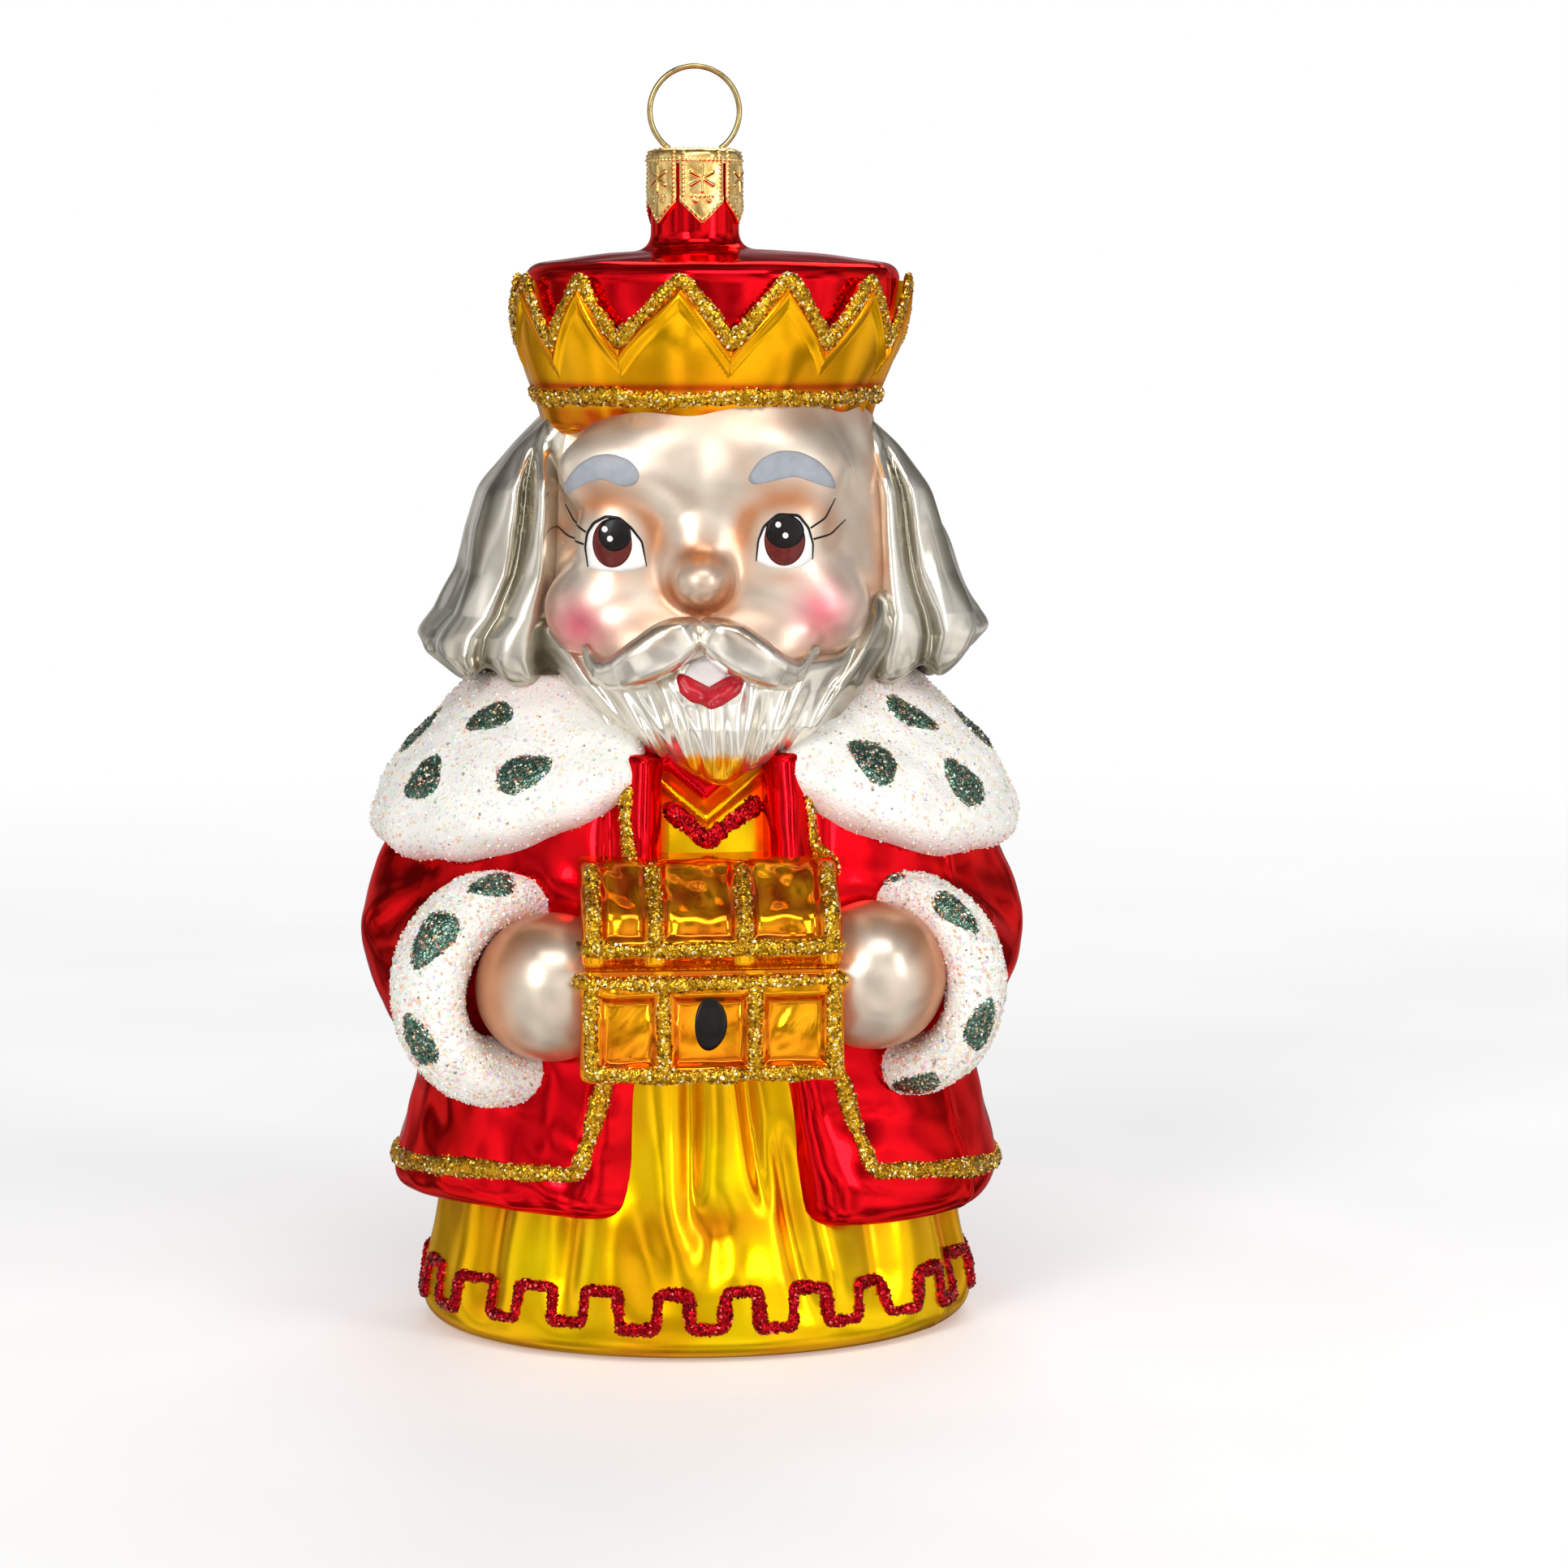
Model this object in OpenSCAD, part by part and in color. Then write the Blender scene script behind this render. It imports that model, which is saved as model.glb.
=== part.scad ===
// Blown-glass Christmas ornament: a bearded king who holds a treasure chest.
// The glass is one thin hollow shell, divided here at its lacquer lines into zones that are fused
// to each other. Glitter beads and enamel lie on the glass. A leaf cap with a wire hanger closes the neck.
// The figure stands on z = 0 and faces -Y. Millimetres.

/* [Glass figure] */
// Height from the standing face to the glass rim of the neck
figure_h = 119; // [100:1:150]
// Wall thickness of the blown glass
glass_wall = 1.2; // [0.8:0.1:1.6]
// Half of the robe's front opening, in degrees round the figure
robe_gap = 17; // [12:1:22]

/* [Crown] */
// Number of points round the crown
crown_points = 12; // [8:1:14]
// Height of the crown's points
point_h = 6.4; // [4:0.2:7]

/* [Glitter] */
// Width of a gold glitter bead
bead_w = 1.5; // [1:0.1:1.8]
// Number of waves in the braid round the hem
hem_waves = 21; // [16:1:26]

/* [Cap and hanger] */
// Outer diameter of the glass neck
neck_d = 8.9; // [8.5:0.1:9.3]
// Height of the metal cap
cap_h = 7.2; // [6:0.2:8]
// Number of leaves round the cap
cap_leaves = 6; // [4:1:8]
// Diameter of the hanger's wire
wire_d = 0.56; // [0.4:0.02:0.64]
// Outer diameter of the hanger's ring
ring_d = 9.6; // [8.6:0.2:11]
// Length of the hanger's legs inside the neck
leg_l = 7.5; // [5:0.5:8]

/* [Hidden] */
k = figure_h / 119;        // the sculpted figure is drawn 119 tall and scaled as a whole
neck_wall = 0.9;
bore_r = neck_d / 2 - neck_wall;
cap_gap = 0.05;            // running clearance between cap and neck
cap_t = 0.3;
cap_r = neck_d / 2 + cap_gap + cap_t;
cap_z = figure_h;          // the cap's top plate rests on the glass rim
hole_r = wire_d / 2 + 0.17;
leg_x = 2.75;              // half of the distance between the hanger's legs
leg_end_x = 2.85;
ring_r = (ring_d - wire_d) / 2;
ring_z = cap_z + cap_t + 0.2 + sqrt(ring_r * ring_r - leg_x * leg_x);
hem_low = 3.4;             // the hem braid runs between these two heights
hem_high = 7;
crown_z = 92.6;            // the crown's lower edge, the feet of its points, and its band of glitter
valley_z = 99.8;
band_z = 94.6;
crown_turn = 2.6;          // the valley between the two front points lies this far round from the front
robe_z = 14;               // the robe's lower edge
robe_hem_z = 17.6;         // the gold bead along the robe's hem
collar_top = 66;
chest_w = 25.6;
chest_y = -30.4;           // the chest's front face
chest_z = 29.4;
chest_split = 40.2;        // the groove between the chest's box and lid
chest_top = 50;
hand_at = [16.6, -21.8, 38.4];
hand_r = 6.9;
cuff_at = [20.6, -16.2, 37.8];
cuff_turn = 32;            // the cuffs open forwards and inwards by this angle
eye_at = [8.3, 80.9];
brow_at = [9.3, 87.2];
$fn = 48;

// Sections of the figure: height, half width, half depth in front, half depth behind.
GOWN = [
    [0, 26.8, 21.9, 21.9], [0.8, 27.9, 22.9, 22.9], [2.4, 28.4, 23.3, 23.3], [6, 27.7, 22.8, 22.6],
    [10, 26.9, 22.2, 22], [14, 26.2, 21.6, 21.4], [22, 24.8, 20.6, 20.4], [34, 23.5, 19.8, 19.5],
    [46, 22.5, 18.8, 18.5], [52, 21.4, 18, 17.8], [60, 18, 16, 16]];
ROBE = [
    [14, 31, 24.6, 24.2], [15.2, 31.3, 24.9, 24.4], [18, 30.7, 24.5, 24], [25, 28.7, 23.3, 23],
    [33, 28, 22.6, 22.4], [42, 28.4, 22.2, 21.8], [48, 29.6, 21.8, 21.4], [52, 29, 20.8, 20.6]];
COLLAR = [
    [48.4, 32, 23, 22.6], [50, 33.2, 23.9, 23.5], [53, 33.4, 24, 23.6], [58, 31.4, 22.4, 22.2],
    [62.5, 27, 20, 19.6], [66, 23, 17.6, 17.4]];
FACE = [
    [58.6, 8, 14, 12], [62, 12.6, 16.6, 14], [66, 15.4, 18.4, 15.4], [72, 17.3, 19.3, 16.6],
    [78, 17.5, 19.3, 17], [85, 16.7, 18.6, 17], [90, 15.8, 17.7, 16.6], [92.6, 15.4, 17.3, 16.4]];
HAIR = [
    [65.6, 25.4, 15, 18], [68.8, 29.2, 16, 19], [72.8, 28.2, 16.4, 19.6], [77, 26, 16.6, 19.8],
    [81, 24.7, 16.8, 19.8], [85.4, 23.2, 16.8, 19.4], [89.6, 20.2, 16.4, 18.4], [92.6, 16.2, 15.6, 16.8]];
CROWN = [
    [92.6, 16.6, 16.6, 16.6], [94.5, 17.4, 17.4, 17.4], [97, 18.4, 18.4, 18.4],
    [100, 19.6, 19.6, 19.6], [103, 20.2, 20.2, 20.2], [106.4, 20.3, 20.3, 20.3]];

// Surfaces. An angle of 0 is the front and angles grow towards +X.
function squarish(v) = sign(v) * pow(abs(v), 0.93);
function mix(a, b, f) = a + (b - a) * f;
function row_below(s, z, i = 0) = i >= len(s) - 2 || z <= s[i + 1][0] ? i : row_below(s, z, i + 1);
function at_height(s, z) =
    let (i = row_below(s, z), f = (z - s[i][0]) / (s[i + 1][0] - s[i][0]))
    [for (c = [0:3]) mix(s[i][c], s[i + 1][c], f)];
function on(s, angle, z, inset = 0) =
    let (r = at_height(s, z), depth = cos(angle) > 0 ? r[2] : r[3])
    [(r[1] - inset) * squarish(sin(angle)), -(depth - inset) * squarish(cos(angle)), z];
function spread(a, b, n) = [for (i = [0:n]) mix(a, b, i / n)];
function heights(s) = [for (row = s) row[0]];
function between(s, low, high) = [low, for (row = s) if (row[0] > low + 0.1 && row[0] < high - 0.1) row[0], high];
// How far up a crown point its edge is at an angle: 0 in a valley, 1 at a tip.
function point_rise(angle) =
    let (p = 360 / crown_points, u = abs((angle - crown_turn) / p + 0.5) % 1) abs(1 - 2 * u);
function collar_low(angle) = 48.4 + 9.6 * pow(max(0, cos(angle)), 6);

// A thin closed solid between two grids of points, each a list of columns.
module skin(outer, inner, closed = false) {
    cols = len(outer);
    rows = len(outer[0]);
    size = cols * rows;
    last = closed ? cols - 1 : cols - 2;
    function v(layer, i, j) = layer * size + (i % cols) * rows + j;
    function quads(i, j) = [
        [v(0, i, j), v(0, i, j + 1), v(0, i + 1, j + 1)], [v(0, i, j), v(0, i + 1, j + 1), v(0, i + 1, j)],
        [v(1, i, j), v(1, i + 1, j + 1), v(1, i, j + 1)], [v(1, i, j), v(1, i + 1, j), v(1, i + 1, j + 1)]];
    function rim(i) = [
        [v(0, i, 0), v(0, i + 1, 0), v(1, i + 1, 0)], [v(0, i, 0), v(1, i + 1, 0), v(1, i, 0)],
        [v(0, i, rows - 1), v(1, i + 1, rows - 1), v(0, i + 1, rows - 1)],
        [v(0, i, rows - 1), v(1, i, rows - 1), v(1, i + 1, rows - 1)]];
    function side(j) = [
        [v(0, 0, j), v(1, 0, j), v(1, 0, j + 1)], [v(0, 0, j), v(1, 0, j + 1), v(0, 0, j + 1)],
        [v(0, cols - 1, j), v(1, cols - 1, j + 1), v(1, cols - 1, j)],
        [v(0, cols - 1, j), v(0, cols - 1, j + 1), v(1, cols - 1, j + 1)]];
    polyhedron(
        [for (layer = [outer, inner]) for (column = layer) for (p = column) p],
        concat(
            [for (i = [0:last]) for (j = [0:rows - 2]) each quads(i, j)],
            [for (i = [0:last]) each rim(i)],
            closed ? [] : [for (j = [0:rows - 2]) each side(j)]));
}

// A solid of the sections s, with flat ends.
module body(s, sides = 48) {
    rows = len(s);
    points = [for (i = [0:sides - 1]) for (z = heights(s)) on(s, i * 360 / sides, z)];
    function v(i, j) = (i % sides) * rows + j;
    polyhedron(points, concat(
        [for (i = [0:sides - 1]) for (j = [0:rows - 2]) each [
            [v(i, j), v(i, j + 1), v(i + 1, j + 1)], [v(i, j), v(i + 1, j + 1), v(i + 1, j)]]],
        [[for (i = [0:sides - 1]) v(i, 0)], [for (i = [sides - 1:-1:0]) v(i, rows - 1)]]));
}

// A bead along a path, flattened onto the figure: w wide, t proud of the path.
function unit(p) = p / norm(p);
module bead(path, w = bead_w, t = 0.55, closed = false, sides = 6) {
    n = len(path);
    function before(i) = closed ? path[(i + n - 1) % n] : path[max(i - 1, 0)];
    function after(i) = closed ? path[(i + 1) % n] : path[min(i + 1, n - 1)];
    function ring(i) =
        let (along = unit(after(i) - before(i)), across = unit(cross([path[i][0], path[i][1], 0], along)),
             out = cross(along, across))
        [for (s = [0:sides - 1]) let (a = s * 360 / sides)
            path[i] + across * (w / 2 * cos(a)) + out * (t * sin(a))];
    function v(i, s) = (i % n) * sides + (s % sides);
    polyhedron([for (i = [0:n - 1]) each ring(i)], concat(
        [for (i = [0:closed ? n - 1 : n - 2]) for (s = [0:sides - 1]) each [
            [v(i, s), v(i + 1, s + 1), v(i, s + 1)], [v(i, s), v(i + 1, s), v(i + 1, s + 1)]]],
        closed ? [] : [[for (s = [0:sides - 1]) v(0, s)], [for (s = [sides - 1:-1:0]) v(n - 1, s)]]));
}

module left() mirror([1, 0, 0]) children();

// A flat oval pad whose face points the way the figure's surface does at that angle.
module pad(at, angle, w, h, t, lean = 0, roll = 0)
    translate(at) rotate([lean, 0, angle]) rotate([90, 0, 0]) rotate([0, 0, roll])
        linear_extrude(t, center = true) resize([w, h]) circle(d = 1, $fn = 20);

// Glass zones.
module gown() color("gold") scale(k) {
    skin(
        [for (i = [0:59]) [for (z = between(GOWN, 0, robe_z)) on(GOWN, i * 6, z)]],
        [for (i = [0:59]) [for (z = between(GOWN, 0, robe_z)) on(GOWN, i * 6, z, glass_wall)]],
        closed = true);
    intersection() {
        body(GOWN, 60);
        translate([-40, -40, 0]) cube([80, 80, glass_wall]);
    }
    panel = spread(-robe_gap - 7, robe_gap + 7, 8);
    skin(
        [for (a = panel) [for (z = between(GOWN, robe_z, 60)) on(GOWN, a, z)]],
        [for (a = panel) [for (z = between(GOWN, robe_z, 60)) on(GOWN, a, z, glass_wall)]]);
}

module robe() color("crimson") scale(k) {
    angles = concat([robe_gap, robe_gap + 7], spread(robe_gap + 14, 346 - robe_gap, 42),
                    [353 - robe_gap, 360 - robe_gap]);
    rows = heights(ROBE);
    turned_in = function (i, j) j == 0 || i < 2 || i > len(angles) - 3;
    skin(
        [for (a = angles) [for (z = rows) on(ROBE, a, z)]],
        [for (i = [0:len(angles) - 1]) [for (j = [0:len(rows) - 1])
            turned_in(i, j) ? on(GOWN, angles[i], rows[j]) : on(ROBE, angles[i], rows[j], glass_wall)]]);
}

module arm() {
    difference() {
        hull() {
            translate([25.2, 1, 40.5]) sphere(8.7, $fn = 24);
            translate([23.8, -2, 35]) sphere(7.6, $fn = 24);
            translate([21, -10.5, 38.2]) sphere(8.8, $fn = 24);
        }
        hull() {
            translate([25.2, 1, 40.5]) sphere(8.7 - glass_wall, $fn = 20);
            translate([21, -10.5, 38.2]) sphere(8.8 - glass_wall, $fn = 20);
        }
        body(ROBE);
    }
}
module sleeve_right() color("crimson") scale(k) arm();
module sleeve_left() color("crimson") scale(k) left() arm();

module ermine_collar() color("white") scale(k) {
    gap = 11;
    angles = spread(gap, 360 - gap, 56);
    levels = spread(0, 1, 6);
    z = function (a, f) mix(collar_low(a), collar_top, f);
    turned_in = function (i, j) j == 0 || i < 1 || i > len(angles) - 2;
    skin(
        [for (a = angles) [for (f = levels) on(COLLAR, a, z(a, f))]],
        [for (i = [0:len(angles) - 1]) [for (j = [0:len(levels) - 1])
            let (a = angles[i])
            on(COLLAR, a, z(a, levels[j]), turned_in(i, j) ? 3 : glass_wall)]]);
}

// The fur cuff is a thick ring, open towards the chest.
module cuff()
    translate(cuff_at) rotate([90, 0, -cuff_turn]) rotate([0, 0, -112])
        rotate_extrude(angle = 224) translate([8.6, 0]) circle(2.9, $fn = 32);
module cuff_right() color("white") scale(k) cuff();
module cuff_left() color("white") scale(k) left() cuff();

module hand()
    translate(hand_at)
        difference() {
            sphere(hand_r);
            sphere(hand_r - glass_wall);
        }
module hand_right() color("peachpuff") scale(k) hand();
module hand_left() color("peachpuff") scale(k) left() hand();

// The chest's outer form: a box whose lid leans back above its front edge.
module chest_outline(inset = 0)
    offset(delta = -inset)
        polygon([[-17, chest_z], [chest_y, chest_z], [chest_y - 0.4, chest_split], [chest_y - 0.2, 45],
                 [-24.8, chest_top], [-17, chest_top]]);
module chest_block(inset = 0)
    rotate([90, 0, 90]) linear_extrude(chest_w - 2 * inset, center = true) chest_outline(inset);
module chest_shell()
    difference() {
        chest_block();
        chest_block(glass_wall);
        body(GOWN);
    }
module chest_box() color("orange") scale(k)
    intersection() {
        chest_shell();
        translate([-20, -40, 20]) cube([40, 40, chest_split - 20]);
    }
module chest_lid() color("orange") scale(k)
    intersection() {
        chest_shell();
        translate([-20, -40, chest_split]) cube([40, 40, 20]);
    }

module face() color("peachpuff") scale(k) {
    angles = spread(-84, 84, 28);
    rows = heights(FACE);
    skin(
        [for (a = angles) [for (z = rows) on(FACE, a, z)]],
        [for (a = angles) [for (z = rows) on(FACE, a, z, glass_wall)]]);
    difference() {
        hull() {
            translate([0, -20.4, 76.6]) sphere(2.6, $fn = 20);
            translate([0, -18, 80]) sphere(2, $fn = 20);
        }
        body(FACE);
    }
}

module beard() color("silver") scale(k)
    difference() {
        hull() {
            for (x = [-10.5, 10.5]) translate([x, -12.6, 68]) sphere(4, $fn = 20);
            translate([0, -16.6, 66.4]) sphere(4.6, $fn = 20);
            translate([0, -19.4, 59]) sphere(1.6, $fn = 20);
        }
        body(FACE);
    }

module moustache() color("silver") scale(k)
    difference() {
        for (side = [-1, 1]) {
            hull() {
                translate([side * 1.2, -20.6, 72.2]) sphere(1.8, $fn = 16);
                translate([side * 6, -19.8, 70.4]) sphere(2.1, $fn = 16);
            }
            hull() {
                translate([side * 6, -19.8, 70.4]) sphere(2.1, $fn = 16);
                translate([side * 12, -15.6, 72.6]) sphere(0.9, $fn = 16);
            }
        }
        body(FACE);
    }

// The hair hangs from the crown round the sides and the back, and flares over the collar.
module hair() color("darkgray") scale(k) {
    angles = concat([62, 68], spread(74, 286, 30), [292, 298]);
    rows = heights(HAIR);
    turned_in = function (i, j) j == 0 || i < 1 || i > len(angles) - 2;
    skin(
        [for (a = angles) [for (z = rows) on(HAIR, a, z)]],
        [for (i = [0:len(angles) - 1]) [for (j = [0:len(rows) - 1])
            turned_in(i, j) ? on(FACE, angles[i], rows[j], -0.05)
                            : on(HAIR, angles[i], rows[j], min(glass_wall, 0.55))]]);
}

module crown_wall() color("orange") scale(k) {
    steps = crown_points * 4;
    levels = spread(0, 1, 6);
    z = function (a, f) mix(crown_z, mix(valley_z, valley_z + point_h, point_rise(a)), f);
    skin(
        [for (i = [0:steps - 1]) let (a = crown_turn + i * 360 / steps) [for (f = levels) on(CROWN, a, z(a, f))]],
        [for (i = [0:steps - 1]) let (a = crown_turn + i * 360 / steps) [for (f = levels) on(CROWN, a, z(a, f), 0.7)]],
        closed = true);
}

// The red cushion lines the crown and rises to the neck.
module crown_cushion() color("crimson") scale(k) {
    side = [crown_z, 94.5, 97, 100, 103, 105.4];
    top = [[18.8, 106.6], [12, 108.4], [6, 109.4], [4.6, 110]];
    lining = function (z, inset) [at_height(CROWN, z)[1] - inset, z];
    rotate_extrude($fn = 72)
        polygon(concat(
            [for (z = side) lining(z, 0.7)], top,
            [for (i = [3:-1:0]) top[i] - [i / 10, glass_wall]],
            [for (i = [5:-1:0]) lining(side[i] - (i == 5 ? 0.6 : 0), 0.7 + glass_wall)]));
}

module neck() color("crimson") {
    base = 110 * k;
    rotate_extrude()
        polygon([[bore_r, base - 2.6], [neck_d / 2, base - 2.6], [neck_d / 2 + 0.8, base - 0.8],
                 [neck_d / 2, base + 0.6], [neck_d / 2, cap_z - 0.3], [neck_d / 2 - 0.3, cap_z],
                 [bore_r, cap_z]]);
}

// Glitter: beads of glue and flakes on the glass.
function wave(f) = f < 0.2 || f > 0.8 ? 0 : f < 0.3 ? (f - 0.2) * 10 : f > 0.7 ? (0.8 - f) * 10 : 1;
module hem_braid() color("red") scale(k)
    bead([for (i = [0:hem_waves - 1]) for (f = [0.05, 0.17, 0.24, 0.3, 0.42, 0.58, 0.7, 0.76, 0.83, 0.95])
            on(GOWN, (i + f) * 360 / hem_waves, mix(hem_low, hem_high, wave(f)))],
        w = 1.2, closed = true);

module neckline_braid() color("red") scale(k)
    bead([for (side = [-1, 1]) for (f = side < 0 ? [1, 0.66, 0.33] : [0, 0.33, 0.66, 1])
            on(GOWN, side * 15 * f, 51.4 + 4.4 * f)], w = 1.1, t = 0.6);

module robe_trim() color("goldenrod") scale(k)
    bead(concat(
            [for (z = spread(28.4, robe_hem_z + 0.6, 4)) on(ROBE, robe_gap + 9, z)],
            [for (a = spread(robe_gap + 12, 179.6, 26)) on(ROBE, a, robe_hem_z)]), w = bead_w);
module robe_trim_right() robe_trim();
module robe_trim_left() left() robe_trim();

module lapel_trim() color("goldenrod") scale(k)
    bead([for (z = spread(47, 51.8, 4)) on(ROBE, robe_gap + 1.5, z)], w = bead_w * 0.9);
module lapel_trim_right() lapel_trim();
module lapel_trim_left() left() lapel_trim();

module chest_straps() color("goldenrod") scale(k)
    difference() {
        union() {
            for (z = [chest_z + 0.7, chest_split - 1.1, chest_split + 2.1])
                translate([-chest_w / 2 - 0.4, chest_y - 0.9, z - 0.65]) cube([chest_w + 0.8, 9, 1.3]);
            for (x = [-11.7, -4.6, 4.6, 11.7])
                translate([x, 0, 0]) rotate([90, 0, 90])
                    linear_extrude(1.3, center = true)
                        intersection() {
                            chest_outline(-0.5);
                            translate([-34, chest_z]) square([9.6, 22]);
                        }
        }
        chest_block();
        translate([-20, -40, chest_split - 0.45]) cube([40, 30, 1.9]);
        translate(hand_at) sphere(hand_r);
        left() translate(hand_at) sphere(hand_r);
    }

module crown_point_trim() color("goldenrod") scale(k) {
    steps = crown_points * 6;
    bead([for (i = [0:steps - 1]) let (a = crown_turn + i * 360 / steps)
            on(CROWN, a, valley_z + 0.1 + (point_h - 0.2) * point_rise(a))],
        w = bead_w, closed = true);
}

module crown_band_trim() color("goldenrod") scale(k)
    rotate_extrude($fn = 72)
        translate([at_height(CROWN, band_z)[1], band_z]) circle(0.75, $fn = 24);

// Ermine tails, in dark glitter: angle round the collar and height.
COLLAR_SPOTS = [[24, 56.4], [44, 60.6], [54, 52.6], [84, 56.6], [106, 61], [118, 52.4], [142, 57.6], [166, 52.6], [170, 61.6]];
module collar_spots() color("darkslategray") scale(k)
    for (spot = COLLAR_SPOTS) for (side = [-1, 1])
        pad(on(COLLAR, side * spot[0], spot[1]), side * spot[0], 3.4, 4.6, 0.7,
            lean = spot[1] > 58 ? -42 : -6, roll = side * -20);

module cuff_spots() color("darkslategray") scale(k)
    translate(cuff_at) rotate([0, 0, -cuff_turn])
        for (a = [-88, -38, 14, 66])
            rotate([0, -a, 0]) translate([10.2, -2.3, 0]) rotate([0, 0, 30])
                rotate([90, 0, 0]) linear_extrude(0.8, center = true) resize([2.4, 4]) circle(d = 1, $fn = 20);
module cuff_spots_right() cuff_spots();
module cuff_spots_left() left() cuff_spots();

// Enamel: thin opaque paint on the face and the chest.
module eye() color("saddlebrown") scale(k)
    pad(on(FACE, 27, eye_at[1]), 27, 5.6, 4.8, 0.8);
module eye_right() eye();
module eye_left() left() eye();

module eyebrow() color("lightslategray") scale(k)
    pad(on(FACE, 34, brow_at[1]), 34, 7.6, 2.6, 1, lean = -8, roll = -8);
module eyebrow_right() eyebrow();
module eyebrow_left() left() eyebrow();

module lips() color("red") scale(k)
    translate([0, -20.8, 67.2]) rotate([90, 0, 0]) rotate([0, 0, 180])
        rotate_extrude(angle = 180) translate([2.2, 0]) circle(0.9, $fn = 24);
module teeth() color("white") scale(k)
    translate([0, -21, 68.4]) sphere(1.5, $fn = 32);
module keyhole() color("black") scale(k)
    translate([0, chest_y - 0.3, 34.4]) rotate([90, 0, 0])
        linear_extrude(0.5, center = true) resize([2.8, 4.8]) circle(d = 1, $fn = 28);

// The cap: a pressed disc whose leaves fold down over the neck, with two holes for the hanger.
module cap() color("goldenrod")
    difference() {
        translate([0, 0, cap_z]) union() {
            translate([0, 0, -cap_h]) cylinder(r = cap_r, h = cap_h - 0.3);
            rotate_extrude()
                polygon([[0, -1], [cap_r, -1], [cap_r, -0.3], [cap_r - 0.5, cap_t - 0.05],
                         [cap_r - 0.9, cap_t], [0, cap_t]]);
        }
        translate([0, 0, cap_z - cap_h - 1]) cylinder(r = neck_d / 2 + cap_gap, h = cap_h + 1);
        for (side = [-1, 1]) translate([side * leg_x, 0, cap_z - 1]) cylinder(r = hole_r, h = 3, $fn = 24);
        for (i = [0:cap_leaves - 1]) rotate([0, 0, i * 360 / cap_leaves + 4])
            rotate([90, 0, 0]) linear_extrude(cap_r + 2)
                polygon([[-0.22, cap_z - 1.6], [0.22, cap_z - 1.6], [0.3, cap_z - cap_h + 2.2],
                         [2.3, cap_z - cap_h], [2.3, cap_z - cap_h - 1], [-2.3, cap_z - cap_h - 1],
                         [-2.3, cap_z - cap_h], [-0.3, cap_z - cap_h + 2.2]]);
    }

// The hanger: a sprung wire ring whose two legs pass through the cap and press on the neck's bore.
module wire_hanger() color("darkgoldenrod") {
    open_a = asin(leg_x / ring_r);
    translate([0, 0, ring_z]) rotate([90, 0, 0]) rotate([0, 0, open_a - 90])
        rotate_extrude(angle = 360 - 2 * open_a, $fn = 64) translate([ring_r, 0]) circle(wire_d / 2, $fn = 24);
    for (side = [-1, 1]) {
        foot = [side * leg_end_x, 0, cap_z - leg_l];
        knee = [side * leg_x, 0, ring_z - sqrt(ring_r * ring_r - leg_x * leg_x)];
        run = knee - foot;
        translate(knee) sphere(wire_d / 2 + 0.03, $fn = 24);
        translate(foot) rotate([0, atan2(run[0], run[2]), 0])
            cylinder(d = wire_d, h = norm(run), $fn = 24);
        translate(foot) sphere(wire_d / 2 + 0.03, $fn = 24);
    }
}

gown();
robe();
sleeve_left();
sleeve_right();
ermine_collar();
cuff_left();
cuff_right();
hand_left();
hand_right();
chest_box();
chest_lid();
face();
beard();
moustache();
hair();
crown_wall();
crown_cushion();
neck();
hem_braid();
neckline_braid();
robe_trim_left();
robe_trim_right();
lapel_trim_left();
lapel_trim_right();
chest_straps();
crown_point_trim();
crown_band_trim();
collar_spots();
cuff_spots_left();
cuff_spots_right();
eye_left();
eye_right();
eyebrow_left();
eyebrow_right();
lips();
teeth();
keyhole();
cap();
wire_hanger();
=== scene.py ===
"""The looks of a blown-glass king ornament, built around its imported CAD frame.

Every outline below is in millimetres in the figure's own frame: Z up from the base, the face towards -Y.
A glass zone is a field, which is negative inside the zone, and is meshed by surface nets.
Glitter is a lumpy bead of glue with real flakes on it, and enamel is a thin skin laid on the glass.
"""
import math

import bpy
import numpy as np
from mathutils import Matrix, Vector


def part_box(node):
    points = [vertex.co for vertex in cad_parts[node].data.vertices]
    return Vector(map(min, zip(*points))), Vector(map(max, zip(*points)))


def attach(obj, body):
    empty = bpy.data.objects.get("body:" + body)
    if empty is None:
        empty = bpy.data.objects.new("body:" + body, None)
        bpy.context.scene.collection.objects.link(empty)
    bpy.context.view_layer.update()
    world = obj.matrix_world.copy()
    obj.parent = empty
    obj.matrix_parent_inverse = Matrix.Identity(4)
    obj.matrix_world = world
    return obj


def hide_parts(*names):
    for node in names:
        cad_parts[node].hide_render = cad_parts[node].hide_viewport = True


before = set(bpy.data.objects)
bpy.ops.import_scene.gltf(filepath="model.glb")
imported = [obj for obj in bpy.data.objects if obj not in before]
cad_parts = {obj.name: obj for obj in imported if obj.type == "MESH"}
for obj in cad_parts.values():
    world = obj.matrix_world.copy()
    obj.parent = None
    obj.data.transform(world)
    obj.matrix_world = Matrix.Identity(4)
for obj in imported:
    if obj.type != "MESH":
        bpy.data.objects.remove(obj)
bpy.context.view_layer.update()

MM = 0.001
GLASS = "glass_figure"
HEAD_TURN = 3.5          # the head looks this many degrees back towards the viewer's left
HEAD_COS, HEAD_SIN = math.cos(math.radians(HEAD_TURN)), math.sin(math.radians(HEAD_TURN))
HEAD_X = 2.1             # its outline is centred this far to the right of its features
SEAMS = (64, -116)       # where the two halves of the mould met, in degrees round the figure
CAP_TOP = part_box("cap")[1][2] / MM
CAP_R = (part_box("cap")[1][0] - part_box("cap")[0][0]) / 2 / MM
CAP_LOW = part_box("cap")[0][2] / MM
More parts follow.
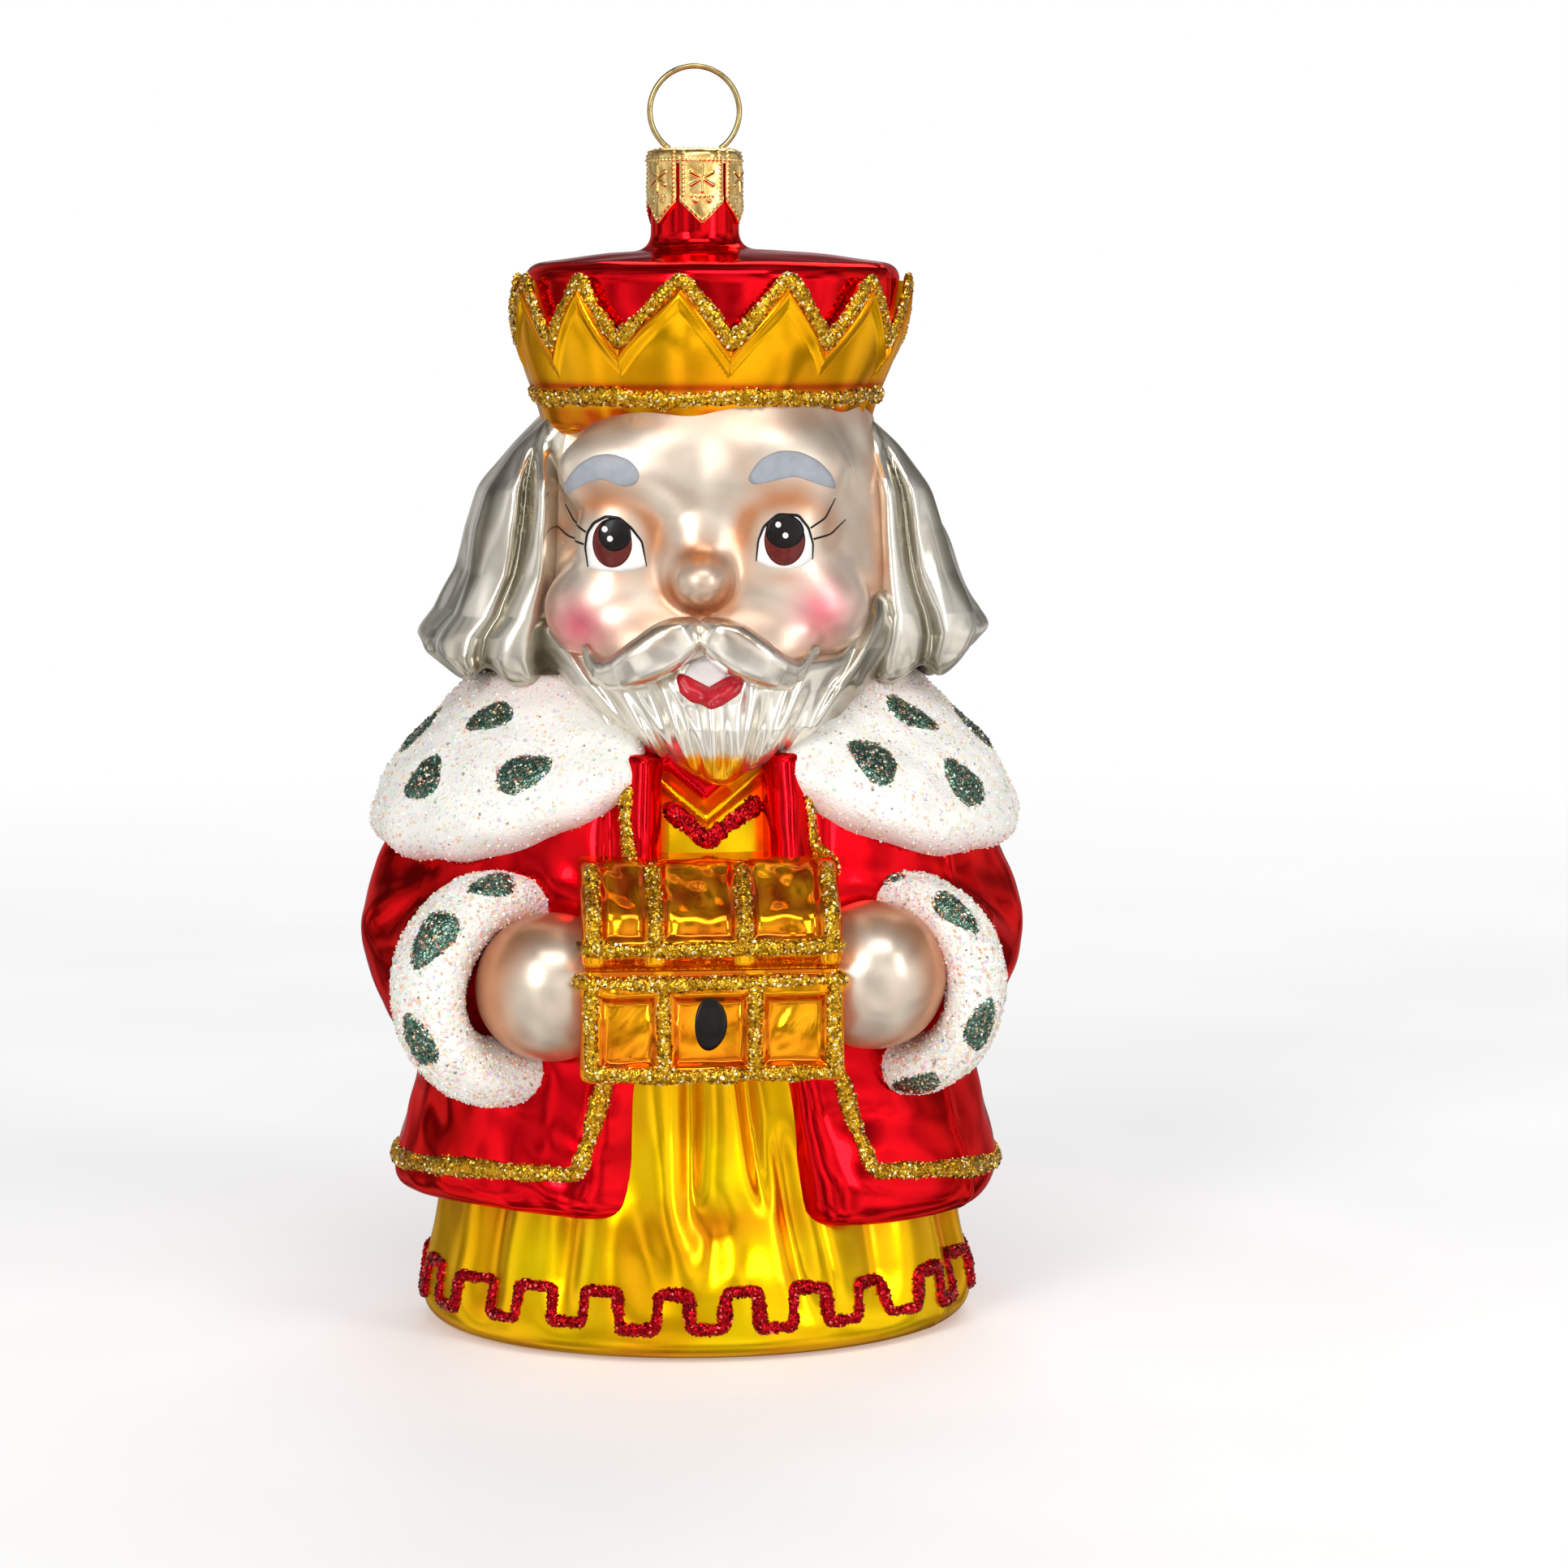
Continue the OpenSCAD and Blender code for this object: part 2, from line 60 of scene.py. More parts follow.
NECK_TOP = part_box("neck")[1][2] / MM
NECK_R = 4.45
BORE_R = 3.55

# Sections: height, half width, half depth in front, half depth behind.
GOWN = [
    (0, 27.2, 22.3, 22.2), (1.2, 28.2, 23.1, 23), (3, 28.3, 23.3, 23.2), (6, 27.8, 22.8, 22.6),
    (10, 26.9, 22.2, 22), (14, 26.2, 21.6, 21.4), (22, 24.8, 20.6, 20.4), (34, 23.5, 19.8, 19.5),
    (46, 22.5, 18.8, 18.5), (52, 21.4, 18, 17.8), (60, 18, 16, 16)]
ROBE = [
    (14, 31, 24.7, 24.2), (16, 31.3, 24.9, 24.4), (18.5, 30.7, 24.6, 24), (25, 28.7, 23.4, 23),
    (33, 28, 22.8, 22.4), (42, 28.4, 22.4, 21.8), (48, 29.6, 22, 21.4), (54, 28, 20.8, 20.6),
    (60, 22, 19, 18)]
COLLAR = [
    (47, 32.6, 23.6, 23), (50, 33.5, 24.2, 23.7), (53, 33.3, 24.1, 23.6), (58, 31, 22, 22.4),
    (62.5, 26.6, 17.8, 19.6), (67, 22.4, 13.4, 17.2)]
FACE = [
    (56, 6, 12, 10), (62, 12.8, 16.4, 14), (66, 16.0, 18, 15.4), (72, 18.2, 18.9, 16.6), (78, 18.4, 19, 17),
    (85, 17.7, 18.7, 17), (90, 16.5, 17.6, 16.6), (94, 15.6, 16.6, 16.2)]
HAIR = [
    (64, 27.4, 15, 18), (68.8, 28.6, 16, 19), (70.8, 28.7, 16, 19.2), (72.8, 27.3, 16.4, 19.6),
    (77, 25.1, 16.6, 19.8), (81, 24.1, 16.8, 19.8), (85.4, 22.8, 16.8, 19.4), (89.6, 19.7, 16.4, 18.4),
    (93.4, 15.6, 15.6, 16.6)]
# How far to the right the hair's middle is, by height.
HAIR_X = [(64, 0.3), (68.7, 0.4), (70.8, 1.05), (72.9, 1.6), (77, 1.5), (81.2, 1.15), (94, 1.1)]
CROWN = [
    (91, 16.2, 16.2, 16.2), (94.5, 17.2, 17.2, 17.2), (97, 18.3, 18.3, 18.3), (100, 19.4, 19.4, 19.4),
    (103, 19.9, 19.9, 19.9), (108, 19.9, 19.9, 19.9)]
CROWN_POINTS = 12
CROWN_X, CROWN_LEAN = 1.1, 0.055    # the crown sits a little to one side of the neck, and leans
CROWN_TURN = 2.6         # a valley between two points lies this far round from the front
CROWN_LOW, VALLEY_Z, PEAK_Z = 92.6, 99.9, 106.3
BAND_Z = 94.7


# ---------------------------------------------------------------- fields
def hyp(*parts):
    return np.sqrt(sum(p * p for p in parts))


def smin(a, b, k):
    h = np.maximum(k - np.abs(a - b), 0) / k
    return np.minimum(a, b) - h * h * k / 4


def smax(a, b, k):
    return -smin(-a, -b, k)


def step(v, low, high):
    t = np.clip((v - low) / (high - low), 0, 1)
    return t * t * (3 - 2 * t)


def bump(v):
    return np.exp(-v * v)


def angle(x, y):
    """Degrees round the figure: 0 is the front, and angles grow towards +X."""
    return np.degrees(np.arctan2(x, -y))


def turned(a):
    return (a + 180) % 360 - 180


def row_at(rows, z, column=1):
    """One column of rows that start with their height, at the height z."""
    return np.interp(z, *np.transpose(rows)[[0, column]])


def loft(rows, blur=1.0):
    """The distance from the axis to a smooth body through the sections, in the direction of x, y."""
    rows = np.array(rows, float)
    z = np.arange(rows[0, 0] - 6, rows[-1, 0] + 6, 0.1)
    kernel = np.exp(-0.5 * (np.arange(-40, 41) * 0.1 / blur) ** 2)
    wide, front, back = (np.convolve(np.interp(z, rows[:, 0], c), kernel / kernel.sum(), "same")
                         for c in rows.T[1:])

    def radius(x, y, height):
        w = np.interp(height, z, wide)
        d = np.where(y < 0, np.interp(height, z, front), np.interp(height, z, back))
        return np.hypot(x, y) / (hyp(x / w, y / d) + 1e-9)
    return radius


gown_r, robe_r, collar_r, face_r, crown_r = (loft(s) for s in (GOWN, ROBE, COLLAR, FACE, CROWN))
hair_r = loft(HAIR, 0.6)


def egg(p, centre, radii):
    q = [(a - b) / c for a, b, c in zip(p, centre, radii)]
    near = hyp(*q)
    return near * (near - 1) / (hyp(*(a / c for a, c in zip(q, radii))) + 1e-9)


def rod(p, a, b, ra, rb):
    """A round rod from a to b whose radius goes from ra to rb."""
    along = [j - i for i, j in zip(a, b)]
    t = sum((v - i) * d for v, i, d in zip(p, a, along)) / sum(d * d for d in along)
    t = np.clip(t, 0, 1)
    return hyp(*(v - i - d * t for v, i, d in zip(p, a, along))) - (ra + (rb - ra) * t)


def chain(p, points, k=0.8):
    """A smooth union of rods through points of (x, y, z, radius)."""
    d = None
    for a, b in zip(points, points[1:]):
        one = rod(p, a[:3], b[:3], a[3], b[3])
        d = one if d is None else smin(d, one, k)
    return d


def seam(x, y, height=0.16, width=1.1):
    t = angle(x, y)
    return sum(height * bump(turned(t - a) / width) for a in SEAMS)


def waves(p, size, seed):
    """Smooth noise between about -1 and 1, from a few sines in seeded directions."""
    rng = np.random.default_rng(seed)
    total = 0
    for _ in range(6):
        d = rng.normal(size=3)
        d *= rng.uniform(0.7, 1.5) / (np.linalg.norm(d) * size)
        total = total + np.sin(2 * math.pi * (p[0] * d[0] + p[1] * d[1] + p[2] * d[2]) + rng.uniform(0, 6.28))
    return total / 3


def head(x, y):
    """The head's own x and y."""
    return x * HEAD_COS - y * HEAD_SIN, x * HEAD_SIN + y * HEAD_COS


def from_head(x, y):
    return x * HEAD_COS + y * HEAD_SIN, -x * HEAD_SIN + y * HEAD_COS


# Folds of the gown: angle, half width in degrees, height of the fold, lowest and highest place.
FOLDS = [
    (-6, 3.2, -1.1, 15, 34), (-13, 6, 0.9, 9, 34), (2.5, 6, 0.6, 14, 36), (12.5, 2.6, -1.1, 17, 36),
    (19, 3.4, -0.9, 6, 24), (26, 6, 0.8, 6, 32), (6, 6, 0.9, 7, 13), (-1, 5, -0.9, 10, 17),
    (-20, 7, -0.6, 8, 15), (-37, 4, -0.8, 5, 18), (-28, 6, 0.5, 5, 18), (44, 5, -0.7, 5, 18),
    (53, 6, 0.5, 4, 18), (-58, 4.4, -0.8, 4, 18), (-66, 6, 0.5, 4, 18), (72, 4.2, -0.7, 4, 18),
    (81, 6, 0.5, 4, 18), (96, 5, -0.8, 4, 18), (108, 6, 0.5, 4, 18), (124, 5, -0.7, 4, 18),
    (140, 6, 0.5, 4, 18), (156, 5, -0.8, 4, 18), (170, 6, 0.5, 4, 18), (-172, 5, -0.7, 4, 18),
    (-150, 6, 0.5, 4, 18), (-134, 5, -0.8, 4, 18), (-118, 6, 0.5, 4, 18), (-98, 5, -0.7, 4, 18),
    (-84, 6, 0.4, 4, 18)]


def gown_field(x, y, z):
    t = angle(x, y)
    r = gown_r(x, y, z) + seam(x, y, 0.12)
    for a, w, h, low, high in FOLDS:
        lean = 0.35 * (20 - z) if 10 < abs(a) < 30 else 0
        fade = step(z, low - 4, low + 3) * (1 - step(z, high - 5, high + 1))
        r = r + h * bump(turned(t - a - lean) / w) * fade
    r = r + 0.28 * waves((x, y, z), 11, 3) * step(z, 2, 8) * (1 - step(z, 44, 50))
    neckline_edge = bump((z - 53.6 - 0.8 * np.abs(x + 0.3)) / 0.8) * (y < 0)
    r = r + 0.8 * neckline_edge
    d = np.hypot(x, y) - r
    return smax(smax(d, -z, 2.2), z - 60, 1)


ARM = [(23.4, 1.8, 45.5, 8.2), (24, 0.2, 40.5, 8.8), (22.9, -3, 35.6, 7.6), (20.8, -10, 38.4, 8.8)]


def arm(p, side):
    """A sleeve. The one on the viewer's left stands a little further out."""
    x, y, z = p
    d = chain((x * side - (0.6 if side < 0 else 0.0), y, z), ARM, 4)
    crease = 0.16 * np.sin((z * 0.9 + y * 0.55) * 1.15) * bump((y + 8) / 5) + 0.14 * waves(p, 9, 6)
    return d + crease


# Half of the robe's front gap, by height: against the gown, and at the robe's own surface.
GAP_INNER = [(14, 10.0), (20, 9.0), (26.5, 8.4), (46, 5.4), (50, 5.0), (60, 4.9)]
GAP_OUTER = [(14, 13.8), (17, 13.2), (26, 10.9), (46, 5.9), (50, 5.4), (60, 5.2)]


def robe_field(x, y, z):
    p = (x, y, z)
    far = np.hypot(x, y)
    inner = gown_r(x, y, z)
    chest = step(z, 44, 48)
    middle = 0.3 + 0.1 * chest
    outer_half = row_at(GAP_OUTER, z) - 1.1 * (1 - chest)
    inner_half = row_at(GAP_INNER, z) - 1.1 * (1 - chest)
    fold = np.abs(x - middle) - outer_half
    roll = 1.8 * bump((fold - 2.0) / 1.9) - 0.6 * bump((fold - 4.8) / 0.8)
    t = angle(x, y)
    on_back = step(np.abs(t), 105, 130) * step(-z, -46, -22)
    folds = 0.5 * np.sin(np.radians(t * 9 + 8 * np.sin(z * 0.15))) * on_back
    dents = 0.22 * waves(p, 15, 8) + 0.1 * waves(p, 6, 9) + folds
    outer = robe_r(x, y, z) + seam(x, y) + dents + roll * chest * (y < 0)
    proud = np.clip((far - inner) / (outer - inner), 0, 1)
    half = inner_half + (outer_half - inner_half) * proud
    gap = np.where(y < 0, (half - np.abs(x - middle + 1.2 * (1 - chest) * proud)) * 0.75, -20)
    hem = 14.2 - 1.3 * step(t, 2, 12) * (1 - step(t, 110, 150)) + 0.25 * np.sin(np.radians(t * 5))
    d = smax(far - outer, hem - z, 2.4)
    d = smax(smax(d, gap, 1.8), z - 60, 1)
    for side in (-1, 1):
        d = smin(d, arm(p, side), 3)
    shirt = smax(far - inner - 2.0, 55.3 + 0.8 * np.abs(x + 0.5) - z, 1.2)
    d = smin(d, smax(smax(shirt, z - 61, 1), np.where(y < 0, np.abs(x) - 8, 20), 0.5), 0.5)
    return smax(d, inner - 1.2 - far, 0.6)


def collar_low(t):
    return 48.4 + 10.6 * np.maximum(np.cos(np.radians(t)), 0) ** 4.6


def collar_field(x, y, z):
    p = (x, y, z)
    t = angle(x, y)
    far = np.hypot(x, y)
    d = far - collar_r(x, y, z) - 0.14 * waves(p, 5, 21) - 0.2 * waves(p, 13, 22)
    d = smax(d, collar_low(t) + 0.25 * waves(p, 9, 23) - z, 5)
    d = smax(d, z - 67, 1)
    d = smax(d, np.where(y < 0, 5.6 + 0.25 * (z - 58) - np.abs(x - 0.4), -20), 4)
    return smax(d, 12 - far, 1)


# Each cuff: its middle's distance from the figure's middle, radius, turn in degrees, half thickness and
# half width. It is open below: CUFF_END is the angle at its ends.
CUFFS = {-1: (20.6, 8.5, 32, 3.25, 4.4), 1: (19.7, 8.4, 41, 2.75, 3.4)}
CUFF_Y, CUFF_Z, CUFF_END = -16.4, 36.8, 106


def cuff_axes(side):
    """The cuff's own axes: outwards across the arm, up, and forwards along the arm."""
    c, s = math.cos(math.radians(CUFFS[side][2])), math.sin(math.radians(CUFFS[side][2]))
    return (side * c, -s, 0), (0, 0, 1), (-side * s, -c, 0)


def cuff_field(x, y, z, side):
    middle, r, _, thick, wide = CUFFS[side]
    p = [x - side * middle, y - CUFF_Y, z - CUFF_Z]
    u, w, a = (sum(i * j for i, j in zip(p, axis)) for axis in cuff_axes(side))
    turn = np.clip(np.arctan2(w, u), -math.radians(CUFF_END), math.radians(CUFF_END))
    du, dw = u - r * np.cos(turn), w - r * np.sin(turn)
    thick = thick + 0.15 * np.sin(turn * 3) + 0.12 * waves((x, y, z), 5, 31)
    return (hyp(hyp(du, dw) / thick, a / wide) - 1) * 3


HAND_X, HAND_Y, HAND_Z = 15.8, -21.4, 37.9


def hand_field(x, y, z, side):
    ball = egg((x, y, z), (side * HAND_X, HAND_Y, HAND_Z + 0.35 * side), (7.4, 7.4, 7.3))
    return ball + 0.06 * waves((x, y, z), 6, 41 + side)


CHEST_X, CHEST_HALF, CHEST_FRONT, CHEST_BACK = -0.5, 12.8, -30.3, -17
CHEST_SPLIT = 40.2
BOX_LOW_RIB, BOX_HIGH_RIB, LID_RIB = 30.1, 38.6, 42.4
BOX_STRAPS, LID_STRAPS = (-12.2, -5.2, 3.6, 11.2), (-12.0, -6.1, 2.5, 10.8)


def ribs(x, straps):
    return np.max([bump(((x - s) / 1.15) ** 2) for s in straps], axis=0)


def box_field(x, y, z):
    across = np.abs(x - CHEST_X) - CHEST_HALF
    level = np.maximum(bump(((z - BOX_LOW_RIB) / 1.1) ** 2), bump(((z - BOX_HIGH_RIB) / 1.2) ** 2))
    lift = np.maximum(ribs(x, BOX_STRAPS), level)
    centre = bump((z - 34.3) / 3.0) * (1 - ribs(x, BOX_STRAPS))
    front = CHEST_FRONT - y + 1.0 * (1 - lift) - 0.65 * centre + 0.12 * waves((x, y, z), 3.5, 51)
    d = smax(smax(across, front, 0.9), smax(29.3 - z, z - CHEST_SPLIT + 0.6, 0.4), 0.9)
    return smax(d, y - CHEST_BACK, 0.5)


def lid_field(x, y, z):
    across = np.abs(x - CHEST_X) - CHEST_HALF + 0.2
    lift = np.maximum(ribs(x, LID_STRAPS), bump(((z - LID_RIB) / 1.1) ** 2))
    slope = (-4.8 * (y + 30.6) + 5.6 * (z - 45.3)) / 7.38
    sunk = 0.7 * (1 - lift) + 0.13 * waves((x, y, z), 3.4, 52)
    front = CHEST_FRONT - 0.2 - y + sunk
    d = smax(smax(front, slope + sunk, 1.0), smax(across, z - 50.2, 0.8), 0.9)
    return smax(smax(d, CHEST_SPLIT + 0.5 - z, 0.5), y - CHEST_BACK, 0.5)


def groove_field(x, y, z):
    """The amber waist between the chest's box and its lid."""
    across = np.abs(x - CHEST_X) - CHEST_HALF + 0.5
    d = smax(smax(across, CHEST_FRONT + 1.0 - y, 0.8), np.abs(z - CHEST_SPLIT) - 1.6, 0.2)
    return smax(d, y - CHEST_BACK, 0.5)


def chest_box_field(x, y, z):
    return smin(box_field(x, y, z), smax(groove_field(x, y, z), z - CHEST_SPLIT, 0.1), 0.5)


def chest_lid_field(x, y, z):
    return smin(lid_field(x, y, z), smax(groove_field(x, y, z), CHEST_SPLIT - z, 0.1), 0.5)


# The moustache's middle line on the viewer's right: distance from its middle, height, radius.
MOUSTACHE = [(0.7, 72.2, 1.2), (2.0, 71.5, 1.95), (3.2, 70.8, 2.25), (4.5, 69.9, 2.2), (5.9, 69.1, 2.0),
             (7.2, 68.4, 1.65), (8.6, 68.0, 1.3), (10.0, 68.3, 1.1), (10.9, 69.0, 0.95), (11.5, 69.9, 0.75)]


def face_field(x, y, z):
    hx, hy = head(x, y)
    p = (np.sqrt((hx - 0.3) ** 2 + 1.5), hy, z)
    d = np.hypot(hx - HEAD_X, hy) - face_r(hx - HEAD_X, hy, z)
    d = smax(smax(d, z - 94.5, 1), 58 - z, 3)
    d = smin(d, egg(p, (6.6, -14.2, 87.6), (7.4, 3.7, 4.2)), 4.6)      # brow
    d = smax(d, -egg(p, (8.2, -21.4, 81.9), (4.4, 2.7, 3.8)), 3)       # eye socket
    d = smin(d, egg(p, (8.2, -15.4, 80.9), (4.1, 2.6, 3.5)), 2.2)      # eyeball
    cheek = (np.sqrt((hx - 0.9) ** 2 + 1), hy, z)
    d = smin(d, egg(cheek, (9.0, -13.2, 73.9), (7.0, 5.2, 5.7)), 2.4)
    d = smin(d, egg(p, (4.2, -17.2, 70.0), (6.6, 3.2, 4.0)), 2)        # upper lip, under the moustache
    q = (hx, hy, z)
    d = smin(d, egg(q, (0.2, -17.4, 79.2), (2.4, 2.0, 3.2)), 2.6)      # root of the nose
    d = smin(d, egg(q, (0.3, -20.1, 76.9), (2.6, 2.4, 2.3)), 2.2)      # nose
    mouth = egg(q, (0.9, -21.6, 67.6), (2.6, 2.2, 2.5))
    return smax(d, -mouth, 0.8)


def moustache_line():
    """The moustache's middle line, laid half sunk into the face."""
    x, z, r = np.array(MOUSTACHE).T
    wx, wy = from_head(x + 0.2, np.full_like(x, FROM_FACE))
    on, _ = cast(face_field, np.stack([wx, wy, z], 1), (*from_head(0, 1), 0))
    hx, hy = head(on[:, 0], on[:, 1])
    return [(a, min(b, -15.5) - 0.45 * c, d, c) for a, b, d, c in zip(x, hy, z, r)]


def moustache_field(x, y, z):
    hx, hy = head(x, y)
    d = chain((np.abs(hx - 0.2), hy, z), MOUSTACHE_LINE, 1.1)
    curl = 0.1 * np.sin(np.abs(hx) * 1.2 + z * 2.1)
    on_cheek = face_field(x, y, z)
    d = smax(d + curl, on_cheek - 3.0 + 2.7 * step(np.abs(hx), 9, 11.8), 0.8)
    return smax(d, -(on_cheek + 0.8), 0.5)


# Sections of the beard: height, half width, the section's centre in y and its half depth.
BEARD = [(56.8, 0.6, -18.4, 2.2), (57.8, 2.0, -17.8, 3.4), (60, 6.2, -15.4, 6.2), (62.6, 11.2, -12.4, 9.4),
         (66.5, 15.4, -8.6, 12.6), (70, 17.8, -6, 14.2), (76, 18.8, -4, 14.6), (80, 18.8, -4, 14)]
LOWER_LIP = [(0, -20.7, 65.2, 0.9), (2.0, -20.6, 66.0, 0.8), (3.0, -20.3, 67.3, 0.7)]


def beard_field(x, y, z):
    hx, hy = head(x, y)
    hx = hx - HEAD_X
    wide, centre, deep = (row_at(BEARD, z, column) for column in (1, 2, 3))
    q = hyp(hx / wide, (hy - centre) / deep)
    local = hyp(hx, hy - centre) / (q + 1e-9)
    fan = hx / (z - 49) * 17
    flutes = np.sin(fan * 1.5 + 0.6 * np.sin(z * 0.35)) + 0.45 * np.sin(fan * 2.9 + z * 0.3 + 1)
    upper = 69.6 + 6.3 * step(np.abs(hx), 11.5, 16.5)
    depth = 0.3 * step(upper - z, 0, 4) * step(z, 57, 60)
    sunk = 1.1 * step(z, upper - 4.5, upper) * step(np.abs(hx), 11, 15)
    d = (q - 1) * local * 0.8 + depth * flutes - 0.3 + sunk
    mouth = egg((hx, hy, z), (-1.1, -22.8, 67.8), (3.0, 3.0, 2.2))
    d = smax(smax(d, z - upper, 1.6), -mouth, 0.8)
    lip = chain((np.abs(hx + 0.95), hy, z), LOWER_LIP, 0.6)
    return smax(smin(d, lip, 0.5), 57.1 - z, 0.8)


def across_hair(x, z):
    """Where a point lies between the face, 0, and the hair's outline, 1; the same without the locks' sway;
    and the hair's half width."""
    wide = row_at(HAIR, z)
    u = (np.abs(x) - 16.5) / (wide - 16.5 + 1e-6)
    return u, u - 0.06 * np.sin(z * 0.3 + np.sign(x)) + 0.14 * (1 - step(-z, -92, -72)), wide


def hair_field(x, y, z):
    x = x - row_at(HAIR_X, z)
    t = angle(x, y)
    far = np.hypot(x, y)
    fall = step(-z, -92, -72)
    lumps = waves((x, y, z * 0.6), 7, 41)
    phase = np.abs(t) * 0.19 + 0.5 * np.sin(np.abs(t) * 0.05) + 0.3 * np.sin(z * 0.2 + 0.6) + 0.25 * lumps
    flutes = np.sin(phase * 1.35 + 1.7) + 0.4 * step(y, -2, 4) * np.sin(phase * 3.1 + 0.5)
    d = far - hair_r(x, y, z) - (0.3 + 0.75 * fall) * flutes - 0.15 * lumps
    u, swayed, wide = across_hair(x, z)
    room = np.clip(wide - 17, 0, 5) / 5 * step(-z, -91, -85)
    locks = 3.3 * bump((swayed - 0.22) / 0.2) + 2.8 * bump((swayed - 0.68) / 0.18)
    locks = locks - 1.0 * bump((swayed - 0.46) / 0.1) - 0.6 * bump((u - 0.9) / 0.09)
    front = -y - 5.6 - 0.13 * (92 - z) - locks * room + 0.35 * lumps
    d = smax(d, front, 2.0)
    tips = 3.0 * step(u, 0.6, 1.0) + 1.3 * bump((u - 0.44) / 0.12) * (y < 2) - 0.5 * bump((u - 0.15) / 0.2)
    low = 66.4 + tips + (0.9 * np.sin(phase * 1.35 + 0.4) + 0.5 * np.sin(phase * 3.1 + 2)) * step(y, -4, 4)
    d = smax(d, low - z, 1.6)
    return smax(smax(d, z - 94.5, 0.6), 13 - far, 0.6)


def uneven_points(t):
    """How many degrees the hand-made crown's points stray from an even round."""
    return 4.2 * bump((turned(t) + 34) / 15)


def zigzag(t, low=VALLEY_Z, high=PEAK_Z):
    u = (turned(t + uneven_points(t) - CROWN_TURN) / (360 / CROWN_POINTS)) % 1
    return low + (high - low) * (1 - np.abs(1 - 2 * u))


def crown_x(z):
    """How far to the right of the neck the crown's middle is at a height."""
    return CROWN_X + CROWN_LEAN * (z - BAND_Z)


def crown_field(x, y, z):
    x = x - crown_x(z)
    t = angle(x, y)
    far = np.hypot(x, y)
    r = crown_r(x, y, z) + seam(x, y, 0.3, 1.4) + 0.12 * waves((x, y, z), 12, 61)
    rim = (zigzag(t) - z) * 0.72
    r = r + 0.5 * step(rim, 0.0, 1.3) - 0.4 * step(rim, 1.0, 2.4)
    r = r - 0.12 * np.cos(np.radians(CROWN_POINTS * turned(t - CROWN_TURN)))
    d = smax(far - r, -rim, 0.9)
    return smax(smax(d, CROWN_LOW - 1.7 - z - 0.4 * bump(t / 50), 1.6), r - 3.4 - far, 0.3)


def cushion_field(x, y, z):
    cx = x - crown_x(z)
    far = np.hypot(cx, y)
    side = far - (crown_r(cx, y, z) - 0.95 + seam(cx, y, 0.2, 1.4))
    dome = z - (109.4 - 1.9 * (far / 20) ** 2)
    d = smax(smax(side, dome, 1.8), CROWN_LOW + 0.4 - z, 0.4)
    far = np.hypot(x, y)
    neck = smax(far - NECK_R, z - NECK_TOP, 0.5)
    d = smin(d, smax(neck, 104 - z, 0.3), 1.9)
    d = smax(d, BORE_R - far, 0.3)
    return d + 0.05 * waves((x, y, z), 8, 71) * step(far, 6, 9)


LEAVES, LEAF_TURN = 6, 25
LEAF_W = 2 * math.pi * CAP_R / LEAVES


def snowflake(a, b):
    """Height of an embossed star of six arms round a = b = 0."""
    arm_turn = (np.degrees(np.arctan2(a, b)) + 30) % 60 - 30
    far = np.hypot(a, b)
    off = far * np.sin(np.radians(arm_turn))
    arms = bump(off / (0.09 + 0.06 * far)) * (1 - step(far, 1.25, 1.55)) * step(far, 0.1, 0.3)
    return arms + 0.8 * bump(far / 0.2)


def dots(along, off, pitch=0.44):
    near = (along / pitch) % 1 - 0.5
    return bump(hyp(near * pitch / 0.14, off / 0.13))


def cap_field(x, y, z):
    far = np.hypot(x, y)
    t = angle(x, y) + LEAF_TURN
    a = ((t % (360 / LEAVES)) - 180 / LEAVES) / (360 / LEAVES) * LEAF_W
    low = CAP_LOW + np.maximum(np.abs(a) - 0.15, 0) * 0.98
    drop = CAP_TOP - z
    side = np.abs(a)
    relief = snowflake(a, drop - 3.0) + dots(z, side - 1.98) * step(z, CAP_LOW + 2.2, CAP_LOW + 2.6)
    relief = relief + dots(side, z - low - 0.42) + 0.8 * dots(a, drop - 1.15)
    relief = relief + 0.7 * dots(a, drop - 4.75) * (side < 1.2)
    relief = relief + 0.8 * bump(hyp(side - 0.7, drop - 5.2) / 0.22)
    top_dots = dots(angle(x, y) / 360 * 22, far - 3.6, 0.5) * (z > CAP_TOP - 0.6)
    lift = 0.15 * relief * step(far, 3.4, 4.2) + 0.12 * top_dots
    thick = 0.3
    outer = smax(far - CAP_R - lift + 0.05 * waves((x, y, z), 2.2, 81), z - CAP_TOP - lift, 1.1)
    inner = smax(far - CAP_R + thick - lift, z - CAP_TOP + thick, 0.7)
    d = smax(outer, -inner, 0.12)
    d = smax(d, low - z, 0.12)
    slot = np.where(drop > 1.5, side - LEAF_W / 2 + 0.17, -1)
    d = smax(d, slot, 0.12)
    holes = np.hypot(np.abs(x) - 2.75, y) - 0.45
    return smax(d, -holes, 0.1)


# ---------------------------------------------------------------- meshing
def gradient(field, p, h=0.02):
    """The field's slope at the points p."""
    out = np.empty_like(p)
    for i in range(3):
        q = p.copy()
        q[:, i] += h
        ahead = field(*q.T)
        q[:, i] -= 2 * h
        out[:, i] = (ahead - field(*q.T)) / (2 * h)
    return out


def settle(field, p, rounds=2, reach=0.4):
    """Moves points onto the field's surface and returns them with their normals."""
    for _ in range(rounds):
        g = gradient(field, p)
        move = -field(*p.T)[:, None] * g / np.maximum((g * g).sum(1), 0.05)[:, None]
        size = np.linalg.norm(move, axis=1, keepdims=True)
        p = p + move * np.minimum(1, reach / np.maximum(size, 1e-9))
    g = gradient(field, p)
    return p, g / np.maximum(np.linalg.norm(g, axis=1, keepdims=True), 1e-9)


